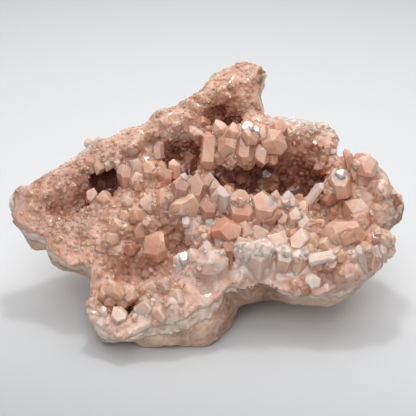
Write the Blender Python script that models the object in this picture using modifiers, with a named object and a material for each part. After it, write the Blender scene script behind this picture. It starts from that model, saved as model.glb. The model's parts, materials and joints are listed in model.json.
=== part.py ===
"""Broken fragment of a pink amethyst geode, leaning on its own rind.

Run with: blender --background --python part.py

The fragment is laid out in millimetres in a "face frame": u runs to the right
along the broken face, v runs up its slope and w stands out of it. The face
leans back by FACE_LEAN, so its crystals look forwards and upwards. The last
steps move both solids to metres, with +Z up, z = 0 where the rind rests and
x = y = 0 in the middle of their box.

Two solids are made:
  matrix         the stone wall with its lumpy rind and pocketed hollow
  crystal_crust  the crystals, grown together over the whole hollow
"""

import math
import random

import bmesh
import bpy
from mathutils import Matrix, Vector, noise
from mathutils.bvhtree import BVHTree

# ---------------------------------------------------------------- driving sizes, mm
FACE_LEAN = math.radians(32)  # slope of the broken face
FACE_LIFT = 35.4  # height of the face-frame origin above the resting plane
PLATE_TOP = 14.0  # the plate is first cut out between these heights
PLATE_BOTTOM = -26.0
CRUST_DEPTH = 1.6  # thickness of the crystal layer under its crystals
CRUST_GAP = 0.35  # clearance between the crust and the stone behind it
SKY_TOP = 22.0  # how far the open air above the face is modelled
SKY_HALF = (70, 58)  # half-sizes of that air along u and v
GRID_STEP = 2.0  # spacing of the face's height grid

RIND_TRIANGLES = 2500
HOLLOW_TRIANGLES = 2700
CRUST_BACK_TRIANGLES = 1500

# Surface colours: red, green, blue, then roughness
STONE_FINISH = ((0.52, 0.36, 0.26), 0.85)
CRYSTAL_FINISH = ((0.66, 0.33, 0.24), 0.3)

# Outline of the fragment on its face, clockwise from the left tip: (u, v)
OUTLINE = (
    (-60.5, 1.0), (-54.5, 3.5), (-49.0, 6.0), (-45.5, 8.5), (-44.0, 12.0), (-37.0, 16.5),
    (-35.5, 19.5), (-32.5, 18.0), (-28.0, 19.0), (-21.0, 23.0), (-18.5, 26.5), (-14.0, 28.5),
    (-9.0, 32.5), (-3.0, 37.0), (1.5, 42.0), (4.0, 45.0), (7.0, 47.5), (10.5, 49.0),
    (14.0, 49.5), (17.5, 47.0), (19.0, 43.5), (17.5, 37.5), (18.5, 29.5), (21.5, 28.5),
    (26.0, 27.0), (34.0, 26.5), (37.5, 25.5), (40.0, 23.5), (40.0, 18.0), (42.5, 12.5),
    (44.5, 13.0), (49.0, 11.5), (52.0, 10.0), (54.0, 7.5), (55.0, 3.5), (56.5, 0.0),
    (60.0, -1.5), (58.5, -5.0), (56.5, -8.5), (55.5, -12.5), (55.5, -17.0), (55.0, -20.0),
    (53.0, -23.0), (50.5, -24.5), (48.0, -27.5), (42.0, -30.0), (37.0, -32.5), (34.5, -34.0),
    (30.0, -34.0), (27.0, -33.0), (23.0, -32.0), (19.0, -30.0), (13.0, -31.5), (8.0, -31.0),
    (4.0, -34.0), (-2.0, -37.0), (-7.0, -42.0), (-14.0, -44.5), (-21.0, -46.5), (-28.5, -46.0),
    (-33.0, -42.5), (-36.0, -39.5), (-36.0, -36.0), (-35.0, -33.0), (-36.0, -29.0),
    (-36.0, -25.0), (-38.5, -23.0), (-41.0, -23.0), (-43.5, -20.5), (-45.5, -19.5),
    (-48.5, -17.5), (-50.0, -15.0), (-52.5, -13.5), (-56.0, -11.5), (-57.5, -9.0),
    (-60.5, -6.5), (-59.5, -5.0), (-61.0, -2.0),
)

# Ball that the rind follows, and balls of rind under and in front of the plate
NODULE = ((0, -2, 14), (86, 76, 33.5))
LOBES = (
    ((-10, -34.5, -12.5), (19, 11.5, 11)),  # front foot
    ((-3, 5, -18.5), (35, 27, 22.5)),  # belly
    ((26, -11, -12), (26, 16, 8)),  # right lobe
)
RIND_WEAR = 40
RIND_BELOW = -9.0  # under this height the lobes are worn into one rind

# Swellings of the broken face: (u, v), half-length, half-width, turn in degrees, height
FACE_BASE = -1.5
SWELLINGS = (
    ((-20, 20), 44, 8, 33, 8.0),  # wall along the upper left edge
    ((10, 40), 13, 10, 20, 3.5),  # summit
    ((11, 14), 9, 7, 0, 9.0),  # cluster over the large pocket
    ((29, 20), 14, 6, -8, 8.0),  # wall at the back right
    ((50, 2), 8, 12, 25, 7.5),  # wall at the right
    ((45, -20), 10, 6, 20, 2.5),  # front right rim
    ((-14, -6), 15, 8, 15, 4.0),  # middle mound
    ((-19, 5), 6, 6, 0, 3.0),  # pillar between the two pockets of the wall
    ((16, -5.5), 13, 4, -3, 4.0),  # sill in front of the large pocket
    ((15, -22), 12, 5, 5, 3.0),  # front rim
    ((1, -24), 9, 6, 20, 2.0),  # lump beside it
    ((-27, -35), 13, 11, 0, -3.5),  # fall of the front left lobe
    ((-56, -4), 9, 9, 0, -1.5),  # left tip
)

# Hollow pockets: centre (u, v, w), half-sizes, turn in degrees
POCKETS = (
    ((-31, 5, -2.5), (7, 6, 8), 30),  # under the upper left wall
    ((-42, -4, -0.5), (8, 3, 4.5), 35),  # trough running down from it
    ((-8.5, 13, -2), (7, 6.5, 9), 15),  # under the wall, nearer the middle
    ((5.5, 27, -0.5), (6.5, 4, 7.5), 5),  # below the summit
    ((22, 6.5, -4), (16, 8, 11), -3),  # the large pocket
    ((3, 5.5, -2), (6, 3.2, 5.5), 0),  # its left end
    ((-9, -16.5, -2.5), (5, 4.5, 6.5), 0),  # small round pocket
    ((39, -8, 1), (7, 8, 5.5), -20),  # bowl at the right
    ((-22, -25, -4), (7, 4, 4), 10),  # pit of the front lobe
    ((-26, -36.5, -7.5), (6, 2.8, 3.5), -5),  # pit at its end
)


# Crystals that stand out, named by where they grow: (u, v), radius, length, axis
LARGE_CRYSTALS = (
    # middle mound
    ((-13.5, -8.0), 2.8, 8.5, (0.0, 0.5, 1)),
    ((-12.0, -8.5), 2.9, 10.0, (1.0, 0.2, 0.35)),
    ((-8.5, -2.0), 4.2, 7.0, (0.2, 0.3, 1)),
    ((-1.0, 2.0), 2.0, 5.0, (0.1, 0.4, 1)),
    ((-0.8, -6.5), 2.4, 4.5, (0.0, -0.2, 1)),
    ((-21.5, -9.5), 2.6, 5.5, (-0.2, 0.1, 1)),
    ((-24.5, -13.5), 2.3, 5.0, (-0.3, 0.0, 1)),
    ((-17.5, -12.5), 2.8, 5.0, (-0.1, -0.2, 1)),
    ((-5.5, -11.5), 2.4, 4.5, (0.1, 0.0, 1)),
    # sill in front of the large pocket
    ((4.5, -4.0), 2.4, 7.0, (0.1, 0.5, 1)),
    ((9.5, -6.5), 3.7, 7.0, (0.0, 0.2, 1)),
    ((15.0, -6.5), 3.1, 6.5, (0.1, 0.2, 1)),
    ((19.0, -8.5), 2.8, 6.0, (0.2, 0.0, 1)),
    ((23.5, -7.0), 2.7, 6.5, (0.1, 0.35, 1)),
    ((28.0, -9.0), 2.4, 5.0, (0.2, 0.1, 1)),
    ((30.5, -5.5), 1.1, 9.0, (0.6, 0.9, 0.5)),
    ((13.0, -12.0), 2.6, 5.0, (-0.1, -0.1, 1)),
    ((21.0, -14.0), 2.4, 4.5, (0.1, -0.1, 1)),
    # cluster that hangs over the large pocket
    ((10.0, 19.0), 2.6, 5.5, (0.0, 0.3, 1)),
    ((6.0, 14.5), 4.0, 6.5, (-0.3, 0.0, 1)),
    ((12.0, 13.5), 3.5, 7.0, (0.1, -0.2, 1)),
    ((18.5, 11.5), 3.9, 7.0, (0.45, -0.3, 1)),
    ((16.0, 17.5), 3.0, 5.5, (0.2, 0.2, 1)),
    ((7.0, 9.5), 2.5, 6.5, (-0.1, -1.0, 0.6)),
    ((11.5, 9.0), 2.6, 6.5, (0.1, -1.0, 0.6)),
    ((15.5, 9.0), 2.6, 6.0, (0.3, -1.0, 0.6)),
    ((3.0, 11.5), 2.4, 6.5, (-0.4, -0.7, 1)),
    ((0.5, 9.0), 2.2, 6.0, (-0.1, -1.0, 0.5)),
    ((1.0, 16.5), 2.4, 5.5, (-0.3, 0.1, 1)),
    # right wall and bowl
    ((38.5, 0.5), 3.2, 7.0, (-0.4, -0.2, 1)),
    ((47.0, 4.0), 4.6, 7.5, (0.2, 0.5, 1)),
    ((43.0, 8.0), 1.4, 5.5, (0.0, 1.0, 0.7)),
    ((52.0, -2.5), 3.4, 5.0, (0.5, 0.0, 1)),
    ((41.0, 6.0), 2.8, 5.5, (-0.3, 0.2, 1)),
    ((51.0, -9.5), 3.0, 4.5, (0.4, -0.1, 1)),
    ((45.0, -11.0), 2.5, 5.0, (0.0, -0.2, 1)),
    ((44.5, -17.0), 3.5, 9.5, (-1.0, 0.1, 0.55)),
    ((38.0, -22.0), 2.4, 4.5, (-0.1, -0.1, 1)),
    ((42.5, -22.5), 2.6, 4.5, (0.0, -0.2, 1)),
    ((47.0, -23.0), 2.4, 5.5, (0.2, 0.3, 1)),
    ((51.5, -17.0), 3.0, 4.5, (0.4, -0.1, 1)),
    ((32.5, -24.5), 2.0, 6.0, (0.9, -0.3, 0.6)),
    ((41.0, -28.0), 4.6, 4.0, (0.1, -0.5, 1)),
    ((31.0, -13.5), 2.6, 5.5, (0.3, 0.3, 1)),
    # front rim
    ((10.5, -21.5), 3.0, 6.0, (-0.2, -0.1, 1)),
    ((16.5, -21.5), 2.8, 6.0, (0.0, -0.1, 1)),
    ((22.0, -21.5), 2.5, 5.5, (0.2, -0.2, 1)),
    ((26.5, -22.5), 2.2, 5.0, (0.1, -0.2, 1)),
    ((6.0, -17.5), 3.0, 5.5, (-0.1, -0.1, 1)),
    ((-2.5, -16.5), 3.1, 6.5, (0.1, 0.3, 1)),
    ((1.0, -25.0), 5.2, 4.5, (0.0, -0.2, 1)),
    ((-9.0, -25.0), 1.4, 5.0, (0.0, 0.3, 1)),
    # front lobe
    ((-15.5, -19.0), 3.5, 5.0, (0.0, -0.3, 1)),
    ((-13.0, -31.0), 2.1, 4.5, (0.1, 0.1, 1)),
    ((-27.0, -32.5), 2.3, 4.5, (-0.2, 0.0, 1)),
    ((-23.5, -32.0), 2.1, 5.0, (0.1, 0.1, 1)),
    ((-20.0, -33.0), 2.2, 4.0, (0.3, 0.0, 1)),
    ((-18.0, -39.0), 3.8, 3.5, (0.0, -0.2, 1)),
    ((-11.0, -38.0), 3.2, 3.5, (0.1, -0.2, 1)),
    # pillar and upper left wall
    ((-18.0, 5.0), 2.3, 6.0, (0.3, 0.0, 1)),
    ((-22.0, 1.5), 2.0, 4.5, (-0.1, -0.1, 1)),
    ((-17.0, 18.0), 2.4, 5.0, (0.0, -0.4, 1)),
    ((-24.0, 12.5), 2.2, 4.5, (0.0, -0.4, 1)),
)
SMALL_CRYSTALS = 56  # crystals strewn between the large ones
SMALL_RADIUS = (0.9, 1.9)  # from the left tip, where they are fine, to the right
ROOT = 0.9  # a crystal's foot goes this much deeper than the slope needs
TIP_SHARE = 0.36  # part of a crystal's length that is its point
SEED = 11


def clear_scene():
    for obj in list(bpy.data.objects):
        bpy.data.objects.remove(obj)


def collection(name, hidden=False):
    made = bpy.data.collections.new(name)
    made.hide_render = hidden
    bpy.context.scene.collection.children.link(made)
    return made


def add_object(name, bm, target):
    mesh = bpy.data.meshes.new(name)
    bm.to_mesh(mesh)
    bm.free()
    obj = bpy.data.objects.new(name, mesh)
    target.objects.link(obj)
    return obj


def copy_object(obj, name, target):
    copy = bpy.data.objects.new(name, obj.data.copy())
    target.objects.link(copy)
    return copy


def bmesh_of(obj):
    bm = bmesh.new()
    bm.from_mesh(obj.data)
    return bm


def add_ball(bm, centre, half_sizes, turn=0.0, detail=4):
    """Adds an ellipsoid whose long axes lie in the face, turned about w."""
    place = (
        Matrix.Translation(centre)
        @ Matrix.Rotation(math.radians(turn), 4, "Z")
        @ Matrix.Diagonal((*half_sizes, 1))
    )
    bmesh.ops.create_icosphere(bm, subdivisions=detail, radius=1, matrix=place)


def apply_modifiers(obj):
    graph = bpy.context.evaluated_depsgraph_get()
    mesh = bpy.data.meshes.new_from_object(obj.evaluated_get(graph))
    obj.modifiers.clear()
    obj.data = mesh
    return obj


def remesh(obj, voxel, wear):
    """Fuses everything into one skin of this grain, then wears its edges down."""
    voxels = obj.modifiers.new("fuse", "REMESH")
    voxels.mode = "VOXEL"
    voxels.voxel_size = voxel
    worn = obj.modifiers.new("wear", "SMOOTH")
    worn.factor = 0.5
    worn.iterations = wear
    return apply_modifiers(obj)


def roughen(obj, grain, depth, ceiling=math.inf):
    """Moves the skin in and out by a smooth noise, where it lies under the ceiling."""
    bm = bmesh_of(obj)
    bm.normal_update()
    moves = [
        vert.normal * depth * noise.noise(vert.co / grain) if vert.co.z < ceiling else Vector()
        for vert in bm.verts
    ]
    for vert, move in zip(bm.verts, moves):
        vert.co += move
    bm.to_mesh(obj.data)
    bm.free()
    return obj


def thin_out(obj, triangles):
    """Collapses the mesh to about this many triangles."""
    obj.data.calc_loop_triangles()
    decimate = obj.modifiers.new("facets", "DECIMATE")
    decimate.ratio = triangles / len(obj.data.loop_triangles)
    decimate.use_collapse_triangulate = True
    return apply_modifiers(obj)


def boolean(obj, other, operation, overlapping=False):
    modifier = obj.modifiers.new(operation.lower(), "BOOLEAN")
    modifier.operation = operation
    modifier.solver = "EXACT"
    modifier.use_self = overlapping
    modifier.object = other
    return apply_modifiers(obj)


def grown(obj, name, distance, target):
    """Copy of a solid whose skin is moved outwards."""
    copy = copy_object(obj, name, target)
    push = copy.modifiers.new("offset", "DISPLACE")
    push.strength = distance
    push.mid_level = 0
    return apply_modifiers(copy)


def keep_largest(obj):
    """Drops every shell but the largest: crumbs, and bubbles closed by crystals."""
    bm = bmesh_of(obj)
    waiting = set(bm.faces)
    shells = []
    while waiting:
        shell = [waiting.pop()]
        for face in shell:
            for edge in face.edges:
                for near in edge.link_faces:
                    if near in waiting:
                        waiting.remove(near)
                        shell.append(near)
        shells.append(shell)
    shells.sort(key=len)
    crumbs = [face for shell in shells[:-1] for face in shell]
    bmesh.ops.delete(bm, geom=crumbs, context="FACES")
    bm.to_mesh(obj.data)
    bm.free()
    return obj


def plate(helpers):
    """Outline of the fragment, cut out through its whole thickness."""
    flat = bpy.data.curves.new("outline", "CURVE")
    flat.dimensions = "2D"
    flat.fill_mode = "BOTH"
    flat.extrude = (PLATE_TOP - PLATE_BOTTOM) / 2
    flat.resolution_u = 3
    spline = flat.splines.new("BEZIER")
    spline.bezier_points.add(len(OUTLINE) - 1)
    for point, (u, v) in zip(spline.bezier_points, OUTLINE):
        point.co = (u, v, 0)
        point.handle_left_type = point.handle_right_type = "AUTO"
    spline.use_cyclic_u = True
    curve = bpy.data.objects.new("outline", flat)
    helpers.objects.link(curve)
    graph = bpy.context.evaluated_depsgraph_get()
    bm = bmesh.new()
    bm.from_mesh(bpy.data.meshes.new_from_object(curve.evaluated_get(graph)))
    bpy.data.objects.remove(curve)
    bmesh.ops.translate(bm, verts=bm.verts, vec=(0, 0, (PLATE_TOP + PLATE_BOTTOM) / 2))
    bmesh.ops.remove_doubles(bm, verts=bm.verts, dist=0.001)
    bmesh.ops.recalc_face_normals(bm, faces=bm.faces)
    return add_object("plate", bm, helpers)


def whole_fragment(helpers):
    """The fragment before its hollow is opened."""
    body = plate(helpers)
    bm = bmesh.new()
    add_ball(bm, *NODULE, detail=5)
    nodule = add_object("nodule", bm, helpers)
    boolean(body, nodule, "INTERSECT")
    bm = bmesh_of(body)
    for centre, half_sizes in LOBES:
        add_ball(bm, centre, half_sizes)
    bm.to_mesh(body.data)
    bm.free()
    remesh(body, 1.2, wear=5)
    below = [vert.index for vert in body.data.vertices if vert.co.z < RIND_BELOW]
    body.vertex_groups.new(name="rind").add(below, 1, "REPLACE")
    worn = body.modifiers.new("rind", "SMOOTH")
    worn.vertex_group = "rind"
    worn.iterations = RIND_WEAR
    apply_modifiers(body)
    roughen(body, grain=8, depth=2.6)
    roughen(body, grain=3, depth=1.0)
    return thin_out(body, RIND_TRIANGLES)


def face_height(u, v):
    """Height of the broken face at (u, v)."""
    height = FACE_BASE
    for (cu, cv), long, wide, turn, rise in SWELLINGS:
        angle = math.radians(turn)
        du, dv = u - cu, v - cv
        along = du * math.cos(angle) + dv * math.sin(angle)
        across = -du * math.sin(angle) + dv * math.cos(angle)
        height += rise * math.exp(-((along / long) ** 2) - (across / wide) ** 2)
    return height


def open_air(helpers):
    """The space above the broken face together with its hollow pockets."""
    bm = bmesh.new()
    bmesh.ops.create_grid(
        bm,
        x_segments=round(2 * SKY_HALF[0] / GRID_STEP),
        y_segments=round(2 * SKY_HALF[1] / GRID_STEP),
        size=1,
        matrix=Matrix.Diagonal((*SKY_HALF, 1, 1)),
    )
    for vert in bm.verts:
        vert.co.z = face_height(vert.co.x, vert.co.y)
    top = bmesh.ops.extrude_face_region(bm, geom=bm.faces[:])
    for item in top["geom"]:
        if isinstance(item, bmesh.types.BMVert):
            item.co.z = SKY_TOP
    bmesh.ops.recalc_face_normals(bm, faces=bm.faces)
    for centre, half_sizes, turn in POCKETS:
        add_ball(bm, centre, half_sizes, turn)
    air = add_object("open_air", bm, helpers)
    remesh(air, 1.0, wear=3)
    roughen(air, grain=4, depth=1.6, ceiling=SKY_TOP - 3)
    return roughen(air, grain=1.8, depth=0.8, ceiling=SKY_TOP - 3)


def surface_tree(obj):
    return BVHTree.FromPolygons(
        [vert.co for vert in obj.data.vertices], [face.vertices for face in obj.data.polygons]
    )


def add_crystal(bm, seat, axis, radius, length, spin, thinness):
    """Adds a six-sided crystal with a pointed end, its foot sunk under the seat."""
    shaft = length * (1 - TIP_SHARE)
    root = radius + ROOT
    place = (
        Matrix.Translation(seat)
        @ axis.to_track_quat("Z", "Y").to_matrix().to_4x4()
        @ Matrix.Rotation(spin, 4, "Z")
        @ Matrix.Diagonal((1, thinness, 1, 1))
    )
    made = bmesh.ops.create_cone(
        bm,
        cap_ends=True,
        segments=6,
        radius1=radius * 0.85,
        radius2=radius,
        depth=shaft + root,
        matrix=place @ Matrix.Translation((0, 0, (shaft - root) / 2)),
    )
    ends = {face for vert in made["verts"] for face in vert.link_faces if len(face.verts) == 6}
    top = max(ends, key=lambda face: face.calc_center_median().dot(axis))
    bmesh.ops.poke(bm, faces=[top], offset=length * TIP_SHARE)


def small_radius(u):
    """Crystals grow coarser from the left tip to the right wall."""
    share = (u + 60) / 120
    return SMALL_RADIUS[0] + (SMALL_RADIUS[1] - SMALL_RADIUS[0]) * share


def crystal_field(air, body, helpers):
    """All crystals: the large ones first, then small ones wherever there is room."""
    chance = random.Random(SEED)
    floor = surface_tree(air)
    skin = surface_tree(body)
    bm = bmesh.new()
    taken = []
    for (u, v), radius, length, axis in LARGE_CRYSTALS:
        seat = floor.ray_cast(Vector((u, v, SKY_TOP - 1)), Vector((0, 0, -1)))[0]
        spin = chance.uniform(0, math.pi / 3)
        add_crystal(bm, seat, Vector(axis), radius, length, spin, chance.uniform(0.75, 0.95))
        taken.append((seat, radius))
    faces = [face for face in air.data.polygons if face.center.z < SKY_TOP - 3]
    areas = [face.area for face in faces]
    while len(taken) < len(LARGE_CRYSTALS) + SMALL_CRYSTALS:
        face = chance.choices(faces, areas)[0]
        corners = [air.data.vertices[index].co for index in face.vertices]
        seat = corners[0].lerp(corners[1], chance.random()).lerp(corners[2], chance.random())
        near, outward, _, _ = skin.find_nearest(seat)
        radius = small_radius(seat.x) * chance.uniform(0.75, 1.3)
        inside = (near - seat).dot(outward) > radius
        if not inside or any((seat - other).length < radius + size * 0.9 for other, size in taken):
            continue
        lean = Vector([chance.gauss(0, 0.3) for _ in range(3)])
        axis = (lean - face.normal).normalized()
        length = radius * chance.uniform(1.6, 2.6)
        spin = chance.uniform(0, math.pi / 3)
        add_crystal(bm, seat, axis, radius, length, spin, chance.uniform(0.75, 1))
        taken.append((seat, radius))
    return add_object("crystals", bm, helpers)


def paint(obj, finish):
    colour, roughness = finish
    material = bpy.data.materials.new(obj.name)
    material.use_nodes = True
    shader = material.node_tree.nodes["Principled BSDF"]
    shader.inputs["Base Color"].default_value = (*colour, 1)
    shader.inputs["Roughness"].default_value = roughness
    shader.inputs["Metallic"].default_value = 0
    obj.data.materials.clear()
    obj.data.materials.append(material)


def stand_up(obj):
    """Moves a finished solid from the face frame to metres with +Z up."""
    obj.data.transform(
        Matrix.Scale(0.001, 4)
        @ Matrix.Translation((0, 0, FACE_LIFT))
        @ Matrix.Rotation(FACE_LEAN, 4, "X")
    )
    return obj


def cut_resting_face(obj):
    """Takes off what lies under z = 0, which leaves flat feet."""
    bm = bmesh_of(obj)
    cut = bmesh.ops.bisect_plane(
        bm,
        geom=bm.verts[:] + bm.edges[:] + bm.faces[:],
        plane_co=(0, 0, 0),
        plane_no=(0, 0, 1),
        clear_inner=True,
    )
    edges = [item for item in cut["geom_cut"] if isinstance(item, bmesh.types.BMEdge)]
    bmesh.ops.holes_fill(bm, edges=edges, sides=0)
    bmesh.ops.triangulate(bm, faces=bm.faces)
    bm.to_mesh(obj.data)
    bm.free()
    return obj


def centre(solids):
    """Moves the solids together, so that x = y = 0 is the middle of their box."""
    points = [vert.co for obj in solids for vert in obj.data.vertices]
    middle = [(min(p[axis] for p in points) + max(p[axis] for p in points)) / 2 for axis in (0, 1)]
    for obj in solids:
        obj.data.transform(Matrix.Translation((-middle[0], -middle[1], 0)))


def main():
    clear_scene()
    part = collection("pink_amethyst_geode")
    helpers = collection("cutters", hidden=True)
    body = whole_fragment(helpers)
    fine_air = open_air(helpers)
    crust_back = grown(fine_air, "crust_back", CRUST_DEPTH, helpers)
    remesh(crust_back, 1.0, wear=1)
    thin_out(crust_back, CRUST_BACK_TRIANGLES)
    air = thin_out(fine_air, HOLLOW_TRIANGLES)

    stone = copy_object(body, "matrix", part)
    stone_face = grown(crust_back, "stone_face", CRUST_GAP, helpers)
    boolean(stone, stone_face, "DIFFERENCE", overlapping=True)
    crust = copy_object(body, "crystal_crust", part)
    boolean(crust, air, "DIFFERENCE")
    boolean(crust, crystal_field(air, body, helpers), "UNION", overlapping=True)
    boolean(crust, crust_back, "INTERSECT")
    for obj in (stone, crust):
        stand_up(obj)
    cut_resting_face(stone)
    for obj in (stone, crust):
        keep_largest(obj)
    centre((stone, crust))
    paint(stone, STONE_FINISH)
    paint(crust, CRYSTAL_FINISH)
    for helper in list(helpers.objects):
        helper.display_type = "WIRE"
        helper.hide_render = True


main()
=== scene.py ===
"""Looks of a broken fragment of a pink amethyst geode.

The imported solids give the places: a stone matrix with a lumpy rind, and the crust of
crystals that lines its hollow. Both are replaced here by finer pieces in the same space:

  rind               the matrix with its worn, stained skin and its pale broken edge
  crystal_bed        the grown-together quartz that the crystals stand in
  named_crystals     the large crystals, one by one
  coarse_crystals    small crystals between them, strewn by Geometry Nodes
  middling_crystals  smaller ones
  fine_druse         the smallest, on the upper rim and the left

Sizes are in millimetres in a slanted face frame: u runs to the right along the broken
face, v runs up its slope and w stands out of it.
"""

import json
import logging
import math
import random
from dataclasses import dataclass, field
from enum import Enum

import bmesh
import bpy
import numpy as np
from mathutils import Matrix, Vector, noise
from mathutils.bvhtree import BVHTree

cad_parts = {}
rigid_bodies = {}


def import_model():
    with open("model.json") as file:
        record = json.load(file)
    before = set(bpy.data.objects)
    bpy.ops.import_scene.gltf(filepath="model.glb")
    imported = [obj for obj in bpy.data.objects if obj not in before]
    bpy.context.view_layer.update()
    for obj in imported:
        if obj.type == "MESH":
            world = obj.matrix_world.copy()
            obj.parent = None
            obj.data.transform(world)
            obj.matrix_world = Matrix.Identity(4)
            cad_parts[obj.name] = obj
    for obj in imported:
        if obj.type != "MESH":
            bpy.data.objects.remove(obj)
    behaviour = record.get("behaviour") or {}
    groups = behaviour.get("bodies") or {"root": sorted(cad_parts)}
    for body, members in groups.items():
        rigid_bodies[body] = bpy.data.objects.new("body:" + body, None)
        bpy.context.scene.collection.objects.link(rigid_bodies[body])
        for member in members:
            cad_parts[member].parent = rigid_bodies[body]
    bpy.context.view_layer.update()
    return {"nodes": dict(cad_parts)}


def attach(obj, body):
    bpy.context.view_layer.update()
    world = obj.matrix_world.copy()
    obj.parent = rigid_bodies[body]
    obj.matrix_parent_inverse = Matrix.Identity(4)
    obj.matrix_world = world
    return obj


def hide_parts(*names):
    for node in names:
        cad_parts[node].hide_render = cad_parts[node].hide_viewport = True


LOG = logging.getLogger("geode")
MM = 0.001
CRUST_DEPTH = 1.95  # from the bare stone to the floor that the crystals grow from
QUARTZ_IOR = 1.54
CRYSTAL_VALUES = ("tone", "mauve", "chance", "tip")  # kept for each vertex of a crystal
OPEN_AIR = (0.9, 1.3)  # distances from the stone between which ground comes out into the open
BASE_WEIGHT = 0.35  # how much the ground around the zones counts against them

Array = np.ndarray
Material = bpy.types.Material
Mesh = bpy.types.Mesh
Obj = bpy.types.Object
Socket = bpy.types.NodeSocket
Triple = tuple[float, float, float]


# ---------------------------------------------------------------- places
@dataclass(frozen=True)
class FaceFrame:
    """Slanted frame of the broken face, in millimetres."""

    lean: float = math.radians(32)  # slope of the face, in radians
    lift: float = 35.4  # height of the frame's origin above the resting plane
    shift: tuple[float, float] = (0.573, -4.505)  # place of the frame's origin along X and Y

    def to_world(self) -> Matrix:
        """Matrix from face millimetres to world metres."""
        place = Matrix.Translation((*self.shift, self.lift))
        return Matrix.Scale(MM, 4) @ place @ Matrix.Rotation(self.lean, 4, "X")

    def to_face(self) -> Matrix:
        """Matrix from world metres to face millimetres."""
        return self.to_world().inverted()


FACE = FaceFrame()


@dataclass(frozen=True)
class Zone:
    """Soft-edged oval area of the face that carries a value."""

    u: float  # its middle along the face
    v: float  # its middle up the face
    length: float  # half its length
    width: float  # half its width
    turn: float  # direction of its length, in degrees from u
    value: float  # what holds in its middle

    def weight(self, points: Array) -> Array:
        """How much the zone counts at each point.

        Args:
            points: face coordinates, one row each.

        Returns:
            Weights from 0 to 1.
        """
        angle = math.radians(self.turn)
        du, dv = points[:, 0] - self.u, points[:, 1] - self.v
        along = (du * math.cos(angle) + dv * math.sin(angle)) / self.length
        across = (dv * math.cos(angle) - du * math.sin(angle)) / self.width
        return np.exp(-(along**2) - across**2)


def zones(*rows: tuple[float, float, float, float, float, float]) -> tuple[Zone, ...]:
    """Zones from rows of u, v, half-length, half-width, turn and value."""
    return tuple(Zone(*row) for row in rows)


def smooth_step(low: float, high: float, values: Array) -> Array:
    """Soft step from 0 at low to 1 at high."""
    share = np.clip((values - low) / (high - low), 0, 1)
    return share * share * (3 - 2 * share)


def moved(points: Array, matrix: Matrix) -> Array:
    """Points, one row each, taken through a matrix."""
    full = np.array(matrix)
    return points @ full[:3, :3].T + full[:3, 3]


# ---------------------------------------------------------------- mesh helpers
def linked(name: str, mesh: Mesh) -> Obj:
    """Adds an object to the scene.

    Args:
        name: its name.
        mesh: its mesh.

    Returns:
        The object.
    """
    obj = bpy.data.objects.new(name, mesh)
    bpy.context.scene.collection.objects.link(obj)
    return obj


def mesh_of(bm: bmesh.types.BMesh, name: str) -> Mesh:
    """Turns a loose mesh into a kept one.

    Args:
        bm: the loose mesh, which is freed.
        name: name of the kept one.

    Returns:
        The kept mesh.
    """
    mesh = bpy.data.meshes.new(name)
    bm.to_mesh(mesh)
    bm.free()
    return mesh


def joined(meshes: list[Mesh], name: str) -> Mesh:
    """Joins copies of meshes.

    Args:
        meshes: the meshes.
        name: name of the whole.

    Returns:
        The whole.
    """
    bm = bmesh.new()
    for mesh in meshes:
        bm.from_mesh(mesh)
    return mesh_of(bm, name)


def merged_copy(node: Obj, name: str) -> Obj:
    """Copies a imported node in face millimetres, with its loose triangles merged.

    Args:
        node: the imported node.
        name: the copy's name.

    Returns:
        The copy.
    """
    bm = bmesh.new()
    bm.from_mesh(node.data)
    bmesh.ops.remove_doubles(bm, verts=bm.verts, dist=1e-6)
    bm.transform(FACE.to_face())
    mesh = mesh_of(bm, name)
    mesh.materials.clear()
    return linked(name, mesh)


def evaluated(obj: Obj) -> Mesh:
    """Mesh that the object's modifiers make."""
    graph = bpy.context.evaluated_depsgraph_get()
    return bpy.data.meshes.new_from_object(obj.evaluated_get(graph))


def settled(obj: Obj, kind: str, **settings: object) -> None:
    """Puts the result of a modifier into the object's mesh.

    Args:
        obj: the object.
        kind: type of the modifier.
        **settings: its properties.
    """
    modifier = obj.modifiers.new(kind, kind)
    for name, value in settings.items():
        setattr(modifier, name, value)
    mesh = evaluated(obj)
    obj.modifiers.clear()
    obj.data = mesh


def remeshed(obj: Obj, voxel: float, wear: int) -> None:
    """Rebuilds the skin with an even grain and wears it by rounds of smoothing."""
    settled(obj, "REMESH", mode="VOXEL", voxel_size=voxel)
    settled(obj, "SMOOTH", factor=0.5, iterations=wear)


def gathered(items: bpy.types.bpy_prop_collection, name: str, width: int, kind: type) -> Array:
    """Reads a property of every item.

    Args:
        items: the items.
        name: the property.
        width: how many numbers it has.
        kind: type of the numbers.

    Returns:
        Its numbers, one row for each item.
    """
    values = np.empty(len(items) * width, kind)
    items.foreach_get(name, values)
    return values.reshape(-1, width)


def points_of(mesh: Mesh) -> Array:
    """Vertex places, one row each."""
    return gathered(mesh.vertices, "co", 3, np.float32).astype(float)


def normals_of(mesh: Mesh) -> Array:
    """Vertex normals, one row each."""
    return gathered(mesh.vertex_normals, "vector", 3, np.float32).astype(float)


def kept_values(mesh: Mesh, name: str) -> Array:
    """Numbers kept for the vertices under this name."""
    return gathered(mesh.attributes[name].data, "value", 1, np.float32).ravel()


def place_points(mesh: Mesh, places: Array) -> None:
    """Moves the vertices to these places."""
    mesh.vertices.foreach_set("co", places.astype(np.float32).ravel())
    mesh.update()


def store(mesh: Mesh, name: str, values: Array) -> None:
    """Keeps one number for each vertex under this name."""
    kept = mesh.attributes.new(name, "FLOAT", "POINT")
    kept.data.foreach_set("value", values.astype(np.float32))


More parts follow.
